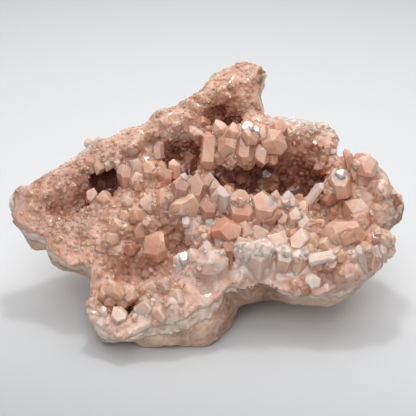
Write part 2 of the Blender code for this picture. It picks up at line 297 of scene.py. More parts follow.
def averaged(mesh: Mesh, values: Array, rounds: int) -> Array:
    """Spreads the vertices' values over their neighbours.

    Args:
        mesh: the mesh.
        values: one row for each vertex.
        rounds: how many edges away a neighbour may be.

    Returns:
        The averages, one row for each vertex.
    """
    start, end = gathered(mesh.edges, "vertices", 2, np.int32).T
    here, there = np.concatenate((start, end)), np.concatenate((end, start))
    count = np.maximum(np.bincount(here, minlength=len(values)), 1)[:, None]
    for _ in range(rounds):
        sums = [np.bincount(here, column[there], len(values)) for column in values.T]
        values = np.stack(sums, axis=1) / count
    return values


def tree_of(mesh: Mesh) -> BVHTree:
    """Search tree over the mesh."""
    corners = [vert.co for vert in mesh.vertices]
    return BVHTree.FromPolygons(corners, [face.vertices for face in mesh.polygons])


def distances(tree: BVHTree, points: Array) -> Array:
    """Distance from each point to the tree's surface."""
    return np.array([tree.find_nearest(Vector(point))[3] for point in points])


def ripple(points: Array, grain: float) -> Array:
    """Smooth noise between about -1 and 1, with lumps of this size."""
    return np.array([noise.noise(Vector(point) / grain) for point in points])


def triangle_count(mesh: Mesh) -> int:
    """Number of triangles."""
    mesh.calc_loop_triangles()
    return len(mesh.loop_triangles)


def smoothed(mesh: Mesh) -> None:
    """Shades the mesh smooth."""
    for face in mesh.polygons:
        face.use_smooth = True


def finish_piece(obj: Obj, node: str, material: Material) -> None:
    """Moves a piece to its place, dresses it and hands it to the frame.

    Args:
        obj: the piece, in face millimetres.
        node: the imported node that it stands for.
        material: its finish.
    """
    obj.data.transform(FACE.to_world())
    obj.data.materials.clear()
    obj.data.materials.append(material)
    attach(obj, "root")
    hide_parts(node)
    LOG.info("%s: %d triangles", obj.name, triangle_count(obj.data))


# ---------------------------------------------------------------- finishes
@dataclass(frozen=True)
class Stop:
    """One colour of a ramp, with its place from 0 to 1."""

    place: float
    colour: Triple


class Graph:
    """Short way to write a node tree."""

    def __init__(self, tree: bpy.types.NodeTree) -> None:
        """Takes the tree that nodes are added to."""
        self.tree = tree

    def feed(self, node: bpy.types.Node, values: dict[str | int, object]) -> None:
        """Links or sets a node's inputs.

        Args:
            node: the node.
            values: for each input's name or number, the socket that it is linked to, or
                its plain value.
        """
        for name, value in values.items():
            socket = node.inputs[name]
            if isinstance(value, Socket):
                self.tree.links.new(value, socket)
            else:
                socket.default_value = (*value, 1) if socket.type == "RGBA" else value

    def node(
        self, kind: str, values: dict[str | int, object] | None = None, **settings: object
    ) -> bpy.types.Node:
        """Adds a node.

        Args:
            kind: Blender's name of the node type.
            values: its inputs, as feed takes them.
            **settings: its properties.

        Returns:
            The node.
        """
        made = self.tree.nodes.new(kind)
        for name, value in settings.items():
            setattr(made, name, value)
        self.feed(made, values or {})
        return made

    def ends(
        self, inputs: dict[str, str], outputs: dict[str, str]
    ) -> tuple[bpy.types.bpy_prop_collection, bpy.types.Node]:
        """Gives a group its sockets.

        Args:
            inputs: kind of each input, by name.
            outputs: kind of each output, by name.

        Returns:
            The sockets of the inputs, and the node that the results go to.
        """
        for way, sockets in (("INPUT", inputs), ("OUTPUT", outputs)):
            for name, kind in sockets.items():
                self.tree.interface.new_socket(name, in_out=way, socket_type=f"NodeSocket{kind}")
        return self.node("NodeGroupInput").outputs, self.node("NodeGroupOutput")

    def maths(self, operation: str, *values: object, clamp: bool = False) -> Socket:
        """Works on sockets or numbers, and may hold the result between 0 and 1."""
        numbered = dict(enumerate(values))
        return self.node("ShaderNodeMath", numbered, operation=operation, use_clamp=clamp).outputs[0]

    def vector(self, operation: str, first: object, second: object) -> bpy.types.Node:
        """Works on vectors."""
        return self.node("ShaderNodeVectorMath", {0: first, 1: second}, operation=operation)

    def scaled(self, vector: Socket, factor: object) -> Socket:
        """Vector times a number."""
        made = self.node("ShaderNodeVectorMath", {0: vector, "Scale": factor}, operation="SCALE")
        return made.outputs[0]

    def blend(self, first: object, first_share: float, second: object, second_share: float) -> Socket:
        """Adds two values, each times its share."""
        kept = self.maths("MULTIPLY", first, first_share)
        return self.maths("MULTIPLY_ADD", second, second_share, kept)

    def off_middle(self, value: object, share: float) -> Socket:
        """How far a value from 0 to 1 is off the middle, times a share."""
        return self.maths("MULTIPLY", self.maths("SUBTRACT", value, 0.5), share)

    def mix(self, share: object, first: object, second: object) -> Socket:
        """Mixes two colours by a share from 0 to 1."""
        values = {"Factor": share, 6: first, 7: second}
        return self.node("ShaderNodeMix", values, data_type="RGBA").outputs[2]

    def ramp(self, value: Socket, stops: tuple[Stop, ...]) -> Socket:
        """Turns a value into a colour.

        Args:
            value: the value.
            stops: the colours.

        Returns:
            The colour.
        """
        made = self.node("ShaderNodeValToRGB", {"Fac": value})
        elements = made.color_ramp.elements
        while len(elements) < len(stops):
            elements.new(1)
        for element, stop in zip(elements, stops):
            element.position = stop.place
            element.color = (*stop.colour, 1)
        return made.outputs["Color"]

    def clouds(self, place: Socket, grain: float, detail: float = 2.0) -> Socket:
        """Noise from 0 to 1 with lumps of this many millimetres."""
        values = {"Vector": place, "Scale": 1 / (grain * MM), "Detail": detail}
        return self.node("ShaderNodeTexNoise", values).outputs["Fac"]

    def attribute(self, name: str) -> Socket:
        """Number kept on the mesh under this name."""
        return self.node("ShaderNodeAttribute", attribute_name=name).outputs["Fac"]

    def ranged(self, value: Socket, *limits: float) -> Socket:
        """Moves a value from one range to another, or to 0 to 1, and holds it inside."""
        names = ("Value", "From Min", "From Max", "To Min", "To Max")
        return self.node("ShaderNodeMapRange", dict(zip(names, (value, *limits)))).outputs["Result"]

    def bump(self, height: Socket, distance: float) -> Socket:
        """Normals of a height, with a relief of this many millimetres."""
        values = {"Distance": distance * MM, "Height": height}
        return self.node("ShaderNodeBump", values).outputs["Normal"]


def new_material(name: str) -> tuple[Material, Graph, bpy.types.Node, Socket]:
    """Starts a material.

    Args:
        name: its name.

    Returns:
        The material, its graph, its shader and the place on the object.
    """
    material = bpy.data.materials.new(name)
    material.use_nodes = True
    graph = Graph(material.node_tree)
    place = graph.node("ShaderNodeTexCoord").outputs["Object"]
    return material, graph, material.node_tree.nodes["Principled BSDF"], place


@dataclass(frozen=True)
class QuartzTint:
    """Shared colour of all pink quartz, as a node group."""

    stops: tuple[Stop, ...] = (  # colours from chalcedony white to iron-stained red; painted shade in pockets and crevices pushes the colour towards the red end
        Stop(0, (0.84, 0.71, 0.63)),
        Stop(0.25, (0.79, 0.58, 0.47)),
        Stop(0.5, (0.735, 0.435, 0.315)),
        Stop(0.75, (0.61, 0.30, 0.20)),
        Stop(1, (0.27, 0.10, 0.06)),
    )
    mauve: Triple = (0.49, 0.305, 0.26)  # colour of the violet crystals
    edge: Triple = (0.88, 0.72, 0.62)  # colour of the painted highlight on thin edges and ridges
    bark: tuple[Stop, ...] = (  # colours of the stained skin that laps over the quartz
        Stop(0, (0.62, 0.42, 0.30)),
        Stop(0.6, (0.40, 0.21, 0.13)),
        Stop(1, (0.24, 0.12, 0.08)),
    )
    own_share: float = 0.24  # how far crystals differ from each other
    cloud_share: float = 0.9  # how far the colour drifts over a few millimetres
    tip_share: float = 0.22  # how much paler a tip is than its foot: painted shade at the foot
    edge_share: float = 0.12  # how strong the painted highlight on the edges is
    wide: float = 5  # size of the wide clouds, in millimetres
    fine: float = 1.2  # size of the fine ones
    facet: float = 0.8  # size of the smallest flat faces, in millimetres
    clouded: tuple[float, float] = (0.3, 0.7)  # range that the fine clouds mostly keep to
    haze: tuple[float, float] = (0.6, 0.7)  # thinnest and thickest violet
    frayed: float = 0.9  # how far the stained skin's edge is frayed by the fine clouds
    lap: tuple[float, float] = (0.45, 0.6)  # values at the skin's soft edge

    KEPT = ("Tone", "Mauve", "Chance", "Tip", "Edge", "Bark")

    def group(self) -> bpy.types.NodeTree:
        """Builds the group, or returns it if it is there.

        Returns:
            Group with a place and the quartz's own values in, and a colour, a cloud value
            and a height out.
        """
        name = "quartz_tint"
        if name in bpy.data.node_groups:
            return bpy.data.node_groups[name]
        tree = bpy.data.node_groups.new(name, "ShaderNodeTree")
        graph = Graph(tree)
        given, result = graph.ends(
            {"Place": "Vector", **dict.fromkeys(self.KEPT, "Float")},
            {"Colour": "Color", "Cloud": "Float", "Height": "Float"},
        )
        fine = graph.clouds(given["Place"], self.fine)
        drift = graph.blend(graph.clouds(given["Place"], self.wide), 0.65, fine, 0.35)
        own = graph.off_middle(given["Chance"], self.own_share)
        clouded = graph.off_middle(drift, self.cloud_share)
        # painted shade: the foot of a crystal, and a low place in the bed, is redder than its tip
        paler = graph.off_middle(given["Tip"], -self.tip_share)
        mixed = graph.maths("ADD", graph.maths("ADD", given["Tone"], own), clouded)
        pink = graph.ramp(graph.maths("ADD", mixed, paler, clamp=True), self.stops)
        haze = graph.ranged(fine, *self.clouded, *self.haze)
        mauve = graph.maths("MULTIPLY", given["Mauve"], haze)
        # painted highlight: edges and ridges are mixed towards a pale colour
        rim = graph.maths("MULTIPLY", given["Edge"], self.edge_share)
        worn = graph.mix(rim, graph.mix(mauve, pink, self.mauve), self.edge)
        bark = graph.ramp(graph.ranged(fine, *self.clouded), self.bark)
        lapped = graph.maths("ADD", given["Bark"], graph.off_middle(fine, self.frayed))
        colour = graph.mix(graph.ranged(lapped, *self.lap), worn, bark)
        height = self.facets(graph, given["Place"])
        graph.feed(result, {"Colour": colour, "Cloud": drift, "Height": height})
        return tree

    def facets(self, graph: Graph, place: Socket) -> Socket:
        """Height of small flat faces that lean in all directions.

        Args:
            graph: the tree.
            place: the coordinates.

        Returns:
            The height, in sizes of a face.
        """
        scaled = graph.scaled(place, 1 / (self.facet * MM))
        cell = graph.node("ShaderNodeTexVoronoi", {"Scale": 1, "Vector": scaled})
        off = graph.vector("SUBTRACT", scaled, cell.outputs["Position"])
        lean = graph.vector("SUBTRACT", cell.outputs["Color"], (0.5, 0.5, 0.5))
        return graph.vector("DOT_PRODUCT", off.outputs[0], lean.outputs[0]).outputs["Value"]


@dataclass(frozen=True)
class QuartzFinish:
    """Waxy quartz that light goes into and is scattered in."""

    name: str  # name of the material
    depth: float  # how far light wanders inside, in millimetres
    gloss: tuple[float, float]  # lowest and highest roughness
    relief: float  # height of the fine relief, in millimetres
    coat: float  # how polished its faces are
    wander: Triple = (1.0, 0.95, 0.9)  # how far red, green and blue light go, against the depth
    tint: QuartzTint = QuartzTint()

    def material(self) -> Material:
        """Builds the material.

        Returns:
            The material.
        """
        material, graph, shader, place = new_material(self.name)
        kept = {name: graph.attribute(name.lower()) for name in self.tint.KEPT}
        values = {"Place": place, **kept}
        tint = graph.node("ShaderNodeGroup", values, node_tree=self.tint.group())
        graph.feed(
            shader,
            {
                "Base Color": tint.outputs["Colour"],
                "Roughness": graph.ranged(tint.outputs["Cloud"], *self.tint.clouded, *self.gloss),
                "Normal": graph.bump(tint.outputs["Height"], self.relief),
                "IOR": QUARTZ_IOR,
                "Coat Weight": self.coat,
                "Subsurface Weight": 1,
                "Subsurface Radius": self.wander,
                "Subsurface Scale": self.depth * MM,
            },
        )
        return material


@dataclass(frozen=True)
class RindFinish:
    """Weathered stone: tan and brown skin, pale broken edge."""

    name: str = "weathered_rind"  # name of the material
    skin: tuple[Stop, ...] = (  # colours of the skin, from cream to dark brown
        Stop(0, (0.80, 0.65, 0.53)),
        Stop(0.4, (0.66, 0.46, 0.35)),
        Stop(0.7, (0.45, 0.28, 0.19)),
        Stop(1, (0.27, 0.14, 0.09)),
    )
    quartz: tuple[Stop, ...] = (  # colours of the broken edge, from grey to white
        Stop(0, (0.60, 0.44, 0.36)),
        Stop(0.45, (0.79, 0.60, 0.49)),
        Stop(1, (0.88, 0.76, 0.66)),
    )
    line: Triple = (0.30, 0.17, 0.12)  # colour of the thin line where the skin begins
    wide: float = 9  # size of the wide clouds, in millimetres
    fine: float = 1.6  # size of the fine ones
    grit: float = 0.9  # size of the grains
    middle: float = 1.05  # mean of the blended clouds
    begun: tuple[float, float] = (0.32, 0.42)  # depths of the thin line
    broken: tuple[float, float] = (0.42, 0.5)  # depths from the line to the broken edge
    gloss: tuple[float, float] = (0.85, 0.5)  # roughness of the skin and of the broken edge

    def material(self) -> Material:
        """Builds the material.

        Returns:
            The material.
        """
        material, graph, shader, place = new_material(self.name)
        fine = graph.clouds(place, self.fine, 4)
        drift = graph.blend(graph.clouds(place, self.wide, 4), 1.2, fine, 0.9)
        paler = graph.maths("SUBTRACT", drift, self.middle)
        skin = graph.ramp(graph.maths("ADD", paler, graph.attribute("stain"), clamp=True), self.skin)
        pale = graph.ramp(graph.ranged(fine, 0.3, 0.65), self.quartz)
        depth = graph.maths("ADD", graph.attribute("rim"), graph.off_middle(fine, 0.5))
        broken = graph.ranged(depth, *self.broken)
        begun = graph.ranged(depth, *self.begun, 0, 0.6)
        edge = graph.maths("MULTIPLY", begun, graph.ranged(depth, *self.broken, 1, 0))
        grit = graph.node("ShaderNodeTexVoronoi", {"Vector": place, "Scale": 1 / (self.grit * MM)})
        height = graph.blend(fine, 1.0, grit.outputs["Distance"], 0.4)
        graph.feed(
            shader,
            {
                "Base Color": graph.mix(edge, graph.mix(broken, skin, pale), self.line),
                "Roughness": graph.ranged(broken, 0, 1, *self.gloss),
                "Normal": graph.bump(height, 0.5),
                "Subsurface Weight": 0.3,
                "Subsurface Radius": (1.0, 0.7, 0.5),
                "Subsurface Scale": 0.8 * MM,
            },
        )
        return material


@dataclass(frozen=True)
class PaperFinish:
    """Pale, matt studio paper whose colour grows a little darker towards the camera: painted shade."""

    name: str = "studio_paper"  # name of the material
    colour: Triple = (0.71, 0.72, 0.735)  # colour far away
    dim: float = 0.62  # painted shade: how bright the nearest paper's colour is against it
    falls: tuple[float, float] = (-0.09, -0.01)  # from where to where the painted shade grows, in metres
    slant: float = 0.2  # how far the bright part of the painted shade leans to the right

    def material(self) -> Material:
        """Builds the material.

        Returns:
            The material.
        """
        material, graph, shader, place = new_material(self.name)
        parts = graph.node("ShaderNodeSeparateXYZ", {0: place}).outputs
        tone = graph.ranged(graph.blend(parts["Y"], 1.0, parts["X"], self.slant), *self.falls)
        # painted shade: the paper's colour is darker towards the camera
        nearer = tuple(value * self.dim for value in self.colour)
        colour = graph.mix(tone, nearer, self.colour)
        graph.feed(shader, {"Base Color": colour, "Roughness": 0.7, "Specular IOR Level": 0.2})
        return material


# ---------------------------------------------------------------- crystals
class Habit(Enum):
    """Shape that a crystal grows in."""

    POINT = "six-sided, with a steep tip"
    BLUNT = "six-sided, with a low, rounded tip"
    BLADE = "flat and long"
    LUMP = "grown together into a worn, rounded mass"
    FACET = "low, with one flat face on top"


POINT, BLUNT, BLADE, LUMP, FACET = Habit
Faces = list[tuple[Vector, float]]  # outward direction and distance from the origin of each


@dataclass(frozen=True)
class Crystal:
    """One crystal, standing on the z axis with its foot under the origin."""

    radius: float  # half its width
    length: float  # from the ground to its tip
    root: float  # how far it goes on under the ground
    habit: Habit = POINT  # its shape
    round_off: float = 0.1  # width of its worn edges, as a share of its radius
    sides: int = 6  # number of faces around it, and at its tip
    skew: tuple[float, float] = (0.12, 0.25)  # how far sides and tip faces are out of line, in radians
    reach: float = 0.78  # distance of the nearest side, as a share of the radius
    narrow: tuple[float, float] = (0.5, 0.8)  # width between two of the sides, of a blade and others
    slants: tuple[int, int] = (38, 58)  # of the tip's faces, in degrees
    blunt_slants: tuple[int, int] = (26, 40)  # of a blunt tip's faces
    lower: tuple[float, float] = (0.5, 0.3)  # how far tip faces drop, and every second one's share
    blunt_top: tuple[float, float] = (0.9, 0.15)  # height of a blunt crystal's top, and its lean
    facet_top: float = 0.62  # height of a flat top, as a share of the length
    weld: float = 0.01  # distance at which corners become one, as a share of the radius
    lump_faces: int = 32  # number of faces of a rounded mass
    lump_turn: float = 2.4  # turn from each of those to the next, in radians

    def planes(self, chance: random.Random) -> Faces:
        """Faces of the crystal.

        Args:
            chance: source of its irregularities.

        Returns:
            The faces.
        """
        spin = chance.uniform(0, math.pi / 3)
        if self.habit is LUMP:
            return self.lump_planes(chance, spin)
        made = []
        narrow = self.narrow[0 if self.habit is BLADE else 1]
        for side in range(self.sides):
            angle = spin + side * math.pi / 3 + chance.uniform(-self.skew[0], self.skew[0])
            reach = self.radius * chance.uniform(self.reach, 1.0) * (narrow if side % 3 == 0 else 1)
            made.append((Vector((math.cos(angle), math.sin(angle), 0)), reach))
        slants = self.blunt_slants if self.habit is BLUNT else self.slants
        for side in range(self.sides):
            skew = chance.uniform(-self.skew[1], self.skew[1])
            angle = spin + side * 2 * math.pi / self.sides + skew
            slant = math.radians(chance.uniform(*slants))
            out, up = math.sin(slant), math.cos(slant)
            lower = chance.uniform(0, self.lower[0]) * self.radius * (1 if side % 2 else self.lower[1])
            outward = Vector((math.cos(angle) * out, math.sin(angle) * out, up))
            made.append((outward, (self.length - lower) * up))
        if self.habit is BLUNT:
            height, lean = self.blunt_top
            top = Vector((chance.uniform(-lean, lean), chance.uniform(-lean, lean), 1)).normalized()
            made.append((top, self.length * height))
        if self.habit is FACET:
            made.append((Vector((0, 0, 1)), self.length * self.facet_top))
        return made

    def lump_planes(self, chance: random.Random, spin: float) -> Faces:
        """Faces of a rounded mass, spread evenly over an egg.

        Args:
            chance: source of its irregularities.
            spin: turn about its axis.

        Returns:
            The faces.
        """
        made = []
        for turn in range(self.lump_faces):
            height = 1 - (2 * turn + 1) / self.lump_faces
            flat = math.sqrt(1 - height * height)
            angle = turn * self.lump_turn + spin
            outward = Vector((math.cos(angle) * flat, math.sin(angle) * flat, height))
            egg = Vector((outward.x * self.radius, outward.y * self.radius, height * self.length / 2))
            reach = egg.length * chance.uniform(0.9, 1.0)
            made.append((outward, height * self.length / 2 + reach))
        return made

    def shape(self, chance: random.Random, place: Matrix) -> bmesh.types.BMesh:
        """Builds the crystal.

        Args:
            chance: source of its irregularities.
            place: where it stands.

        Returns:
            Its closed mesh.
        """
        bm = bmesh.new()
        middle = Matrix.Translation((0, 0, (self.length - self.root) / 2))
        size = (self.radius * 4, self.radius * 4, self.length + self.root, 1)
        bmesh.ops.create_cube(bm, size=1, matrix=middle @ Matrix.Diagonal(size))
        for outward, distance in self.planes(chance):
            cut = bmesh.ops.bisect_plane(
                bm,
                geom=bm.verts[:] + bm.edges[:] + bm.faces[:],
                plane_co=outward * distance,
                plane_no=outward,
                clear_outer=True,
            )
            edges = [item for item in cut["geom_cut"] if isinstance(item, bmesh.types.BMEdge)]
            if edges:
                bmesh.ops.holes_fill(bm, edges=edges, sides=0)
        bmesh.ops.remove_doubles(bm, verts=bm.verts, dist=self.radius * self.weld)
        # the rounded edges are marked for a painted highlight: they are coloured paler
        edge = bm.faces.layers.float.new("edge")
        if self.round_off:
            worn = bmesh.ops.bevel(
                bm,
                geom=bm.edges[:],
                offset=self.radius * self.round_off,
                segments=2,
                profile=0.6,
                affect="EDGES",
                clamp_overlap=True,
            )
            for face in worn["faces"]:
                face[edge] = 1
        bmesh.ops.recalc_face_normals(bm, faces=bm.faces)
        bm.transform(place)
        return bm


@dataclass(frozen=True)
class Named:
    """A crystal large enough to be placed one by one."""

    seat: Triple  # where it grows, (u, v, w)
    radius: float  # half its width
    length: float  # from the ground to its tip
    axis: Triple  # direction that it points in
    tone: float = 0.5  # its colour, from 0 for white to 1 for red
    mauve: float = 0.0  # how violet it is
    habit: Habit = POINT  # its shape

    def place(self) -> Matrix:
        """Matrix from the crystal's own axes to the face frame."""
        turn = Vector(self.axis).normalized().to_track_quat("Z", "Y").to_matrix().to_4x4()
        return Matrix.Translation(self.seat) @ turn


# Each row holds the values of one Named, in their order.
MIDDLE_MOUND = (  # left of the middle
    ((-14.2, -8.5, 1.9), 2.9, 7.8, (0, 0.85, 1), 0.51),
    ((-11, -7, 2.4), 3.1, 9, (1, 0, 0.25), 0.56),
    ((-9.1, -4.3, 2.5), 2.9, 7.5, (0, 0.75, 1), 0.8, 0.9),
    ((-4.6, -3.2, 0.8), 3.3, 8.5, (0.1, 0.8, 1), 0.72, 0.9),
    ((0.3, 0, -0.9), 2.4, 7, (-0.1, 0.8, 1), 0.41, 0.5),
    ((2.2, -2.1, 0.2), 1.9, 6, (0.1, 0.8, 1), 0.46, 0.4),
    ((-7.5, 0.5, 6), 1.1, 2.8, (0, 0.5, 1), 0.05),
    ((4.3, -5.7, 0.4), 2.6, 7.8, (0, 0.85, 1), 0.05, 0.6),
    ((-0.6, -8, 0), 2.3, 5.6, (0, 0.55, 1), 0.66, 0.6, BLUNT),
    ((-6.5, -12.3, 1.8), 1.3, 2.8, (-0.1, 0.6, 1), 0.15),
    ((-3.3, -11.2, 0), 1.4, 2.8, (0, 0.6, 1), 0.1),
    ((-0.3, -10.6, -0.6), 1.4, 2.6, (0.2, 0.6, 1), 0.2),
    ((-17.5, -8, 1.9), 1.9, 5.6, (-0.2, 0.7, 1), 0.56),
    ((-21, -10, 1.5), 2.4, 4.5, (-0.2, 0.4, 1), 0.61),
    ((-24.2, -10.6, 0), 1.9, 4.5, (-0.3, 0.6, 1), 0.51),
    ((-27, -13.2, 0), 2.2, 3.8, (-0.3, 0.3, 1), 0.56),
    ((-20.4, -14, 0), 2.5, 4.2, (0.1, 0.5, 1), 0.56),
    ((-24.4, -4.8, 0.5), 1.7, 3.6, (-0.2, 0.4, 1), 0.46),
    ((-28.8, -16.5, -0.6), 1.9, 3.4, (-0.1, 0.2, 1), 0.51),
    ((-22.7, -19.4, -1.1), 2, 3.6, (0.1, 0.3, 1), 0.66),
)
SILL = (  # on the lower lip of the large pocket
    ((9.7, -8.6, 0), 4.1, 9.4, (0, 1, 1), 0.5),
    ((16.6, -8, 0.8), 3.9, 8.2, (-0.05, 0.55, 1), 0.5, 0, BLUNT),
    ((19.8, -8.6, 0.6), 2.6, 6.8, (0.1, 0.9, 1), 0.55),
    ((20.4, -4.5, 1.5), 1.5, 4, (0, 0.8, 1), 0.3, 0.4),
    ((23.5, -5.2, 1), 1.7, 5.2, (0, 0.8, 1), 0.15),
    ((25, -6.5, 0.5), 2, 5.2, (0.2, 0.7, 1), 0.5),
    ((28.2, -8, -0.2), 1.9, 5, (0.2, 0.7, 1), 0.45),
    ((29.7, -4.5, -0.6), 1.3, 8.8, (1.2, 1, 0.8), 0, 0.4, BLADE),
    ((17.6, -11.3, -1), 1.8, 4.6, (0, 0.65, 1), 0.15),
    ((12.9, -11.2, -0.4), 2.1, 4.2, (-0.1, 0.5, 1), 0.25),
    ((21.9, -10.7, -1), 2.4, 6, (0, 0.8, 1), 0.5),
    ((25.5, -10.2, 0), 2.2, 5, (0.1, 0.6, 1), 0.4),
    ((29, -12, -0.4), 2.4, 4.6, (0.2, 0.5, 1), 0.45),
    ((33, -12.5, -0.8), 2.2, 4.4, (0.4, 0.4, 1), 0.55),
)
HANGING = (  # hanging over the large pocket
    ((12, 15, 10.6), 1.8, 4.2, (-0.03, 0.106, 1), 0.1, 0, FACET),
    ((14.6, 15.4, 9.4), 1, 3.4, (-0.04, 0.107, 1), 0.1, 0, FACET),
    ((1.3, 16.5, 4), 2.5, 10, (0, -1, -0.25), 0.55, 0.25, BLUNT),
    ((6.8, 13.5, 7.6), 3, 7, (-0.1, -1, -0.3), 0.6),
    ((7.9, 11.2, 5.8), 1.8, 6.2, (0, -1, -0.2), 0.65),
    ((11.8, 12.8, 9.8), 2.5, 7.8, (0, -1, -0.3), 0.7),
    ((20, 14.5, 4.4), 3.7, 6, (0.1, -0.3, 1), 0.7, 0.2, BLUNT),
    ((15.9, 12.6, 4.6), 2.8, 6.8, (0.15, -1, 0), 0.75),
    ((19.5, 11.5, 3.5), 2.3, 5, (0.3, -1, 0.1), 0.75),
    ((7.4, 15, 6.6), 3.1, 6.7, (-0.3, 0.9, 1), 0.55),
    ((12.1, 12.6, 10.2), 2.8, 5, (0, 0.7, 1), 0.5),
    ((17, 15.8, 4.6), 2.9, 6.6, (0.1, 0.8, 1), 0.65),
    ((4.4, 17.6, 6.6), 2, 4.6, (-0.4, 0.4, 1), 0.5),
    ((12.5, 18, 5.5), 3.2, 5.5, (0.1, 0.7, 1), 0.6),
    ((22, 20, 5), 2.6, 4.6, (0.2, 0.6, 1), 0.55),
    ((-0.9, 24.2, 1.2), 1.6, 3, (-0.2, 0.2, 1), 0.75),
    ((5.8, 9.6, -4.6), 2.6, 4.5, (0.2, -0.4, 1), 0.9, 0.3),
    ((9.5, 10, -7.5), 2.5, 4.5, (0.2, -0.4, 1), 0.9, 0.3),
)
RIGHT_WALL = (  # on the right
    ((40.2, 2.4, 4.4), 2.3, 4, (-0.135, 0.138, 1), 0.1, 0, FACET),
    ((43.6, 5.8, 6), 1.4, 5.6, (-0.1, 0.9, 1), 0.45),
    ((40.5, -0.6, 1), 3.1, 8.4, (-0.3, 0.8, 1), 0.4),
    ((46.2, -7, -1.3), 4.2, 6, (0, 0.5, 1), 0.5, 0, BLUNT),
    ((45.6, -11.6, -1.6), 3, 5.8, (0, 0.5, 1), 0.45, 0, BLUNT),
    ((47.9, -16.4, 1), 3.9, 12.8, (-1, 0.05, 0.1), 0.45, 0, LUMP),
    ((46.8, -21.4, -0.2), 2.6, 9, (-1, 0.05, 0.1), 0.6, 0, LUMP),
    ((39.8, -22.5, -0.2), 2.7, 5, (-0.1, 0.8, 1), 0.4),
    ((30.9, -30.4, -1.8), 1.8, 2.8, (0, 0, 1), 0.2, 0, BLUNT),
    ((45, -25, -0.4), 1.9, 6.8, (0, 0.85, 1), 0.15, 0.7),
    ((48.2, -24.6, -0.3), 2.2, 6.2, (0, 0.8, 1), 0.2, 0.6),
    ((51.4, -23, -0.5), 1.9, 5.6, (0.1, 0.8, 1), 0.2, 0.5),
    ((30.5, -23.8, 0.6), 2, 8.2, (1, 0.05, 0.2), 0, 0),
    ((35.8, -19.5, -0.9), 2.4, 4.6, (0.1, 0.6, 1), 0.4),
    ((52, -18, 0.2), 2.4, 4, (0.4, 0.3, 1), 0.3),
)
FRONT_RIM = (  # along the front edge
    ((5.3, -16, 0.3), 4, 7.2, (0, 0.5, 1), 0.7, 0, BLUNT),
    ((-3.9, -15.8, -2.2), 2.5, 6.8, (-0.1, 0.7, 1), 0.2, 0.6),
    ((9.8, -22.2, 1), 2, 6.4, (-0.1, 0.8, 1), 0.35, 0.5),
    ((5.9, -22.4, 1), 2.2, 5.6, (0, 0.8, 1), 0.78),
    ((15, -22.2, 0.6), 4.1, 6.8, (0, 0.65, 1), 0.1, 0.5, BLUNT),
    ((20.3, -18.8, 0), 3.4, 6, (0, 0.5, 1), 0.33, 0, BLUNT),
    ((26.7, -17.9, -0.4), 3.3, 5.4, (0.1, 0.6, 1), 0.28),
    ((11.2, -14.2, -0.8), 3, 5.4, (0.1, 0.5, 1), 0.43),
    ((15.6, -15.6, -0.6), 2.6, 4.6, (0, 0.4, 1), 0.33),
    ((1.8, -13.5, -0.6), 1.9, 3.4, (-0.1, 0.5, 1), 0.33),
    ((22, -23.8, 0.3), 2.3, 4.8, (0.1, 0.4, 1), 0.2, 0.2),
    ((26.8, -23.8, -0.6), 2.2, 4.4, (0.1, 0.5, 1), 0.25),
    ((30.8, -17.6, -0.6), 2.3, 4.4, (0.2, 0.5, 1), 0.38),
    ((-4.4, -22.4, -1), 2.3, 4.2, (-0.3, 0.3, 1), 0.2),
    ((-0.9, -20.8, 0.2), 2, 4, (0, 0.6, 1), 0.28),
    ((-8.9, -25.2, -1.4), 1.4, 4.8, (0, 0.8, 1), 0, 0.2),
    ((-7.2, -23.6, 0.2), 1.2, 3.2, (0.04, 0.195, 1), 0.05, 0, FACET),
    ((-15.2, -19.4, -0.4), 3.5, 5.8, (0, 0.4, 1), 0.58, 0, BLUNT),
)
FRONT_LOBE = (  # on the lobe at the front left
    ((-30.4, -33.4, -4.2), 1.9, 3.8, (-0.3, 0.4, 1), 0.55),
    ((-26.8, -33, -2.6), 2.3, 4.2, (-0.1, 0.5, 1), 0.6),
    ((-23.4, -34, -4.6), 2, 4.6, (0.2, 0.5, 1), 0.6),
    ((-28.6, -35.4, -5.6), 1.6, 4, (-0.1, 0.2, 1), 0.65),
    ((-25.2, -35.6, -5.6), 1.7, 4.2, (0.1, 0.2, 1), 0.6),
    ((-13, -31.4, -3.2), 2, 4.4, (0.1, 0.6, 1), 0.2, 0.5),
    ((-18.4, -37.6, -3), 2.9, 4, (0, 0.3, 1), 0.2, 0.6),
    ((-13.6, -38.6, -2.6), 2.8, 3.4, (0.1, 0.2, 1), 0.25, 0.3, BLUNT),
    ((-9, -34.6, -2.2), 2.4, 3.6, (0.1, 0.3, 1), 0.2),
    ((-17, -31, -4.2), 2, 3.8, (0, 0.4, 1), 0.4),
    ((-30.4, -39.2, -4.8), 1.3, 3.2, (0, 0.5, 1), 0.3),
    ((-26.2, -40.1, -4.8), 2.2, 4, (0.2, 0.4, 1), 0.25, 0, BLUNT),
)
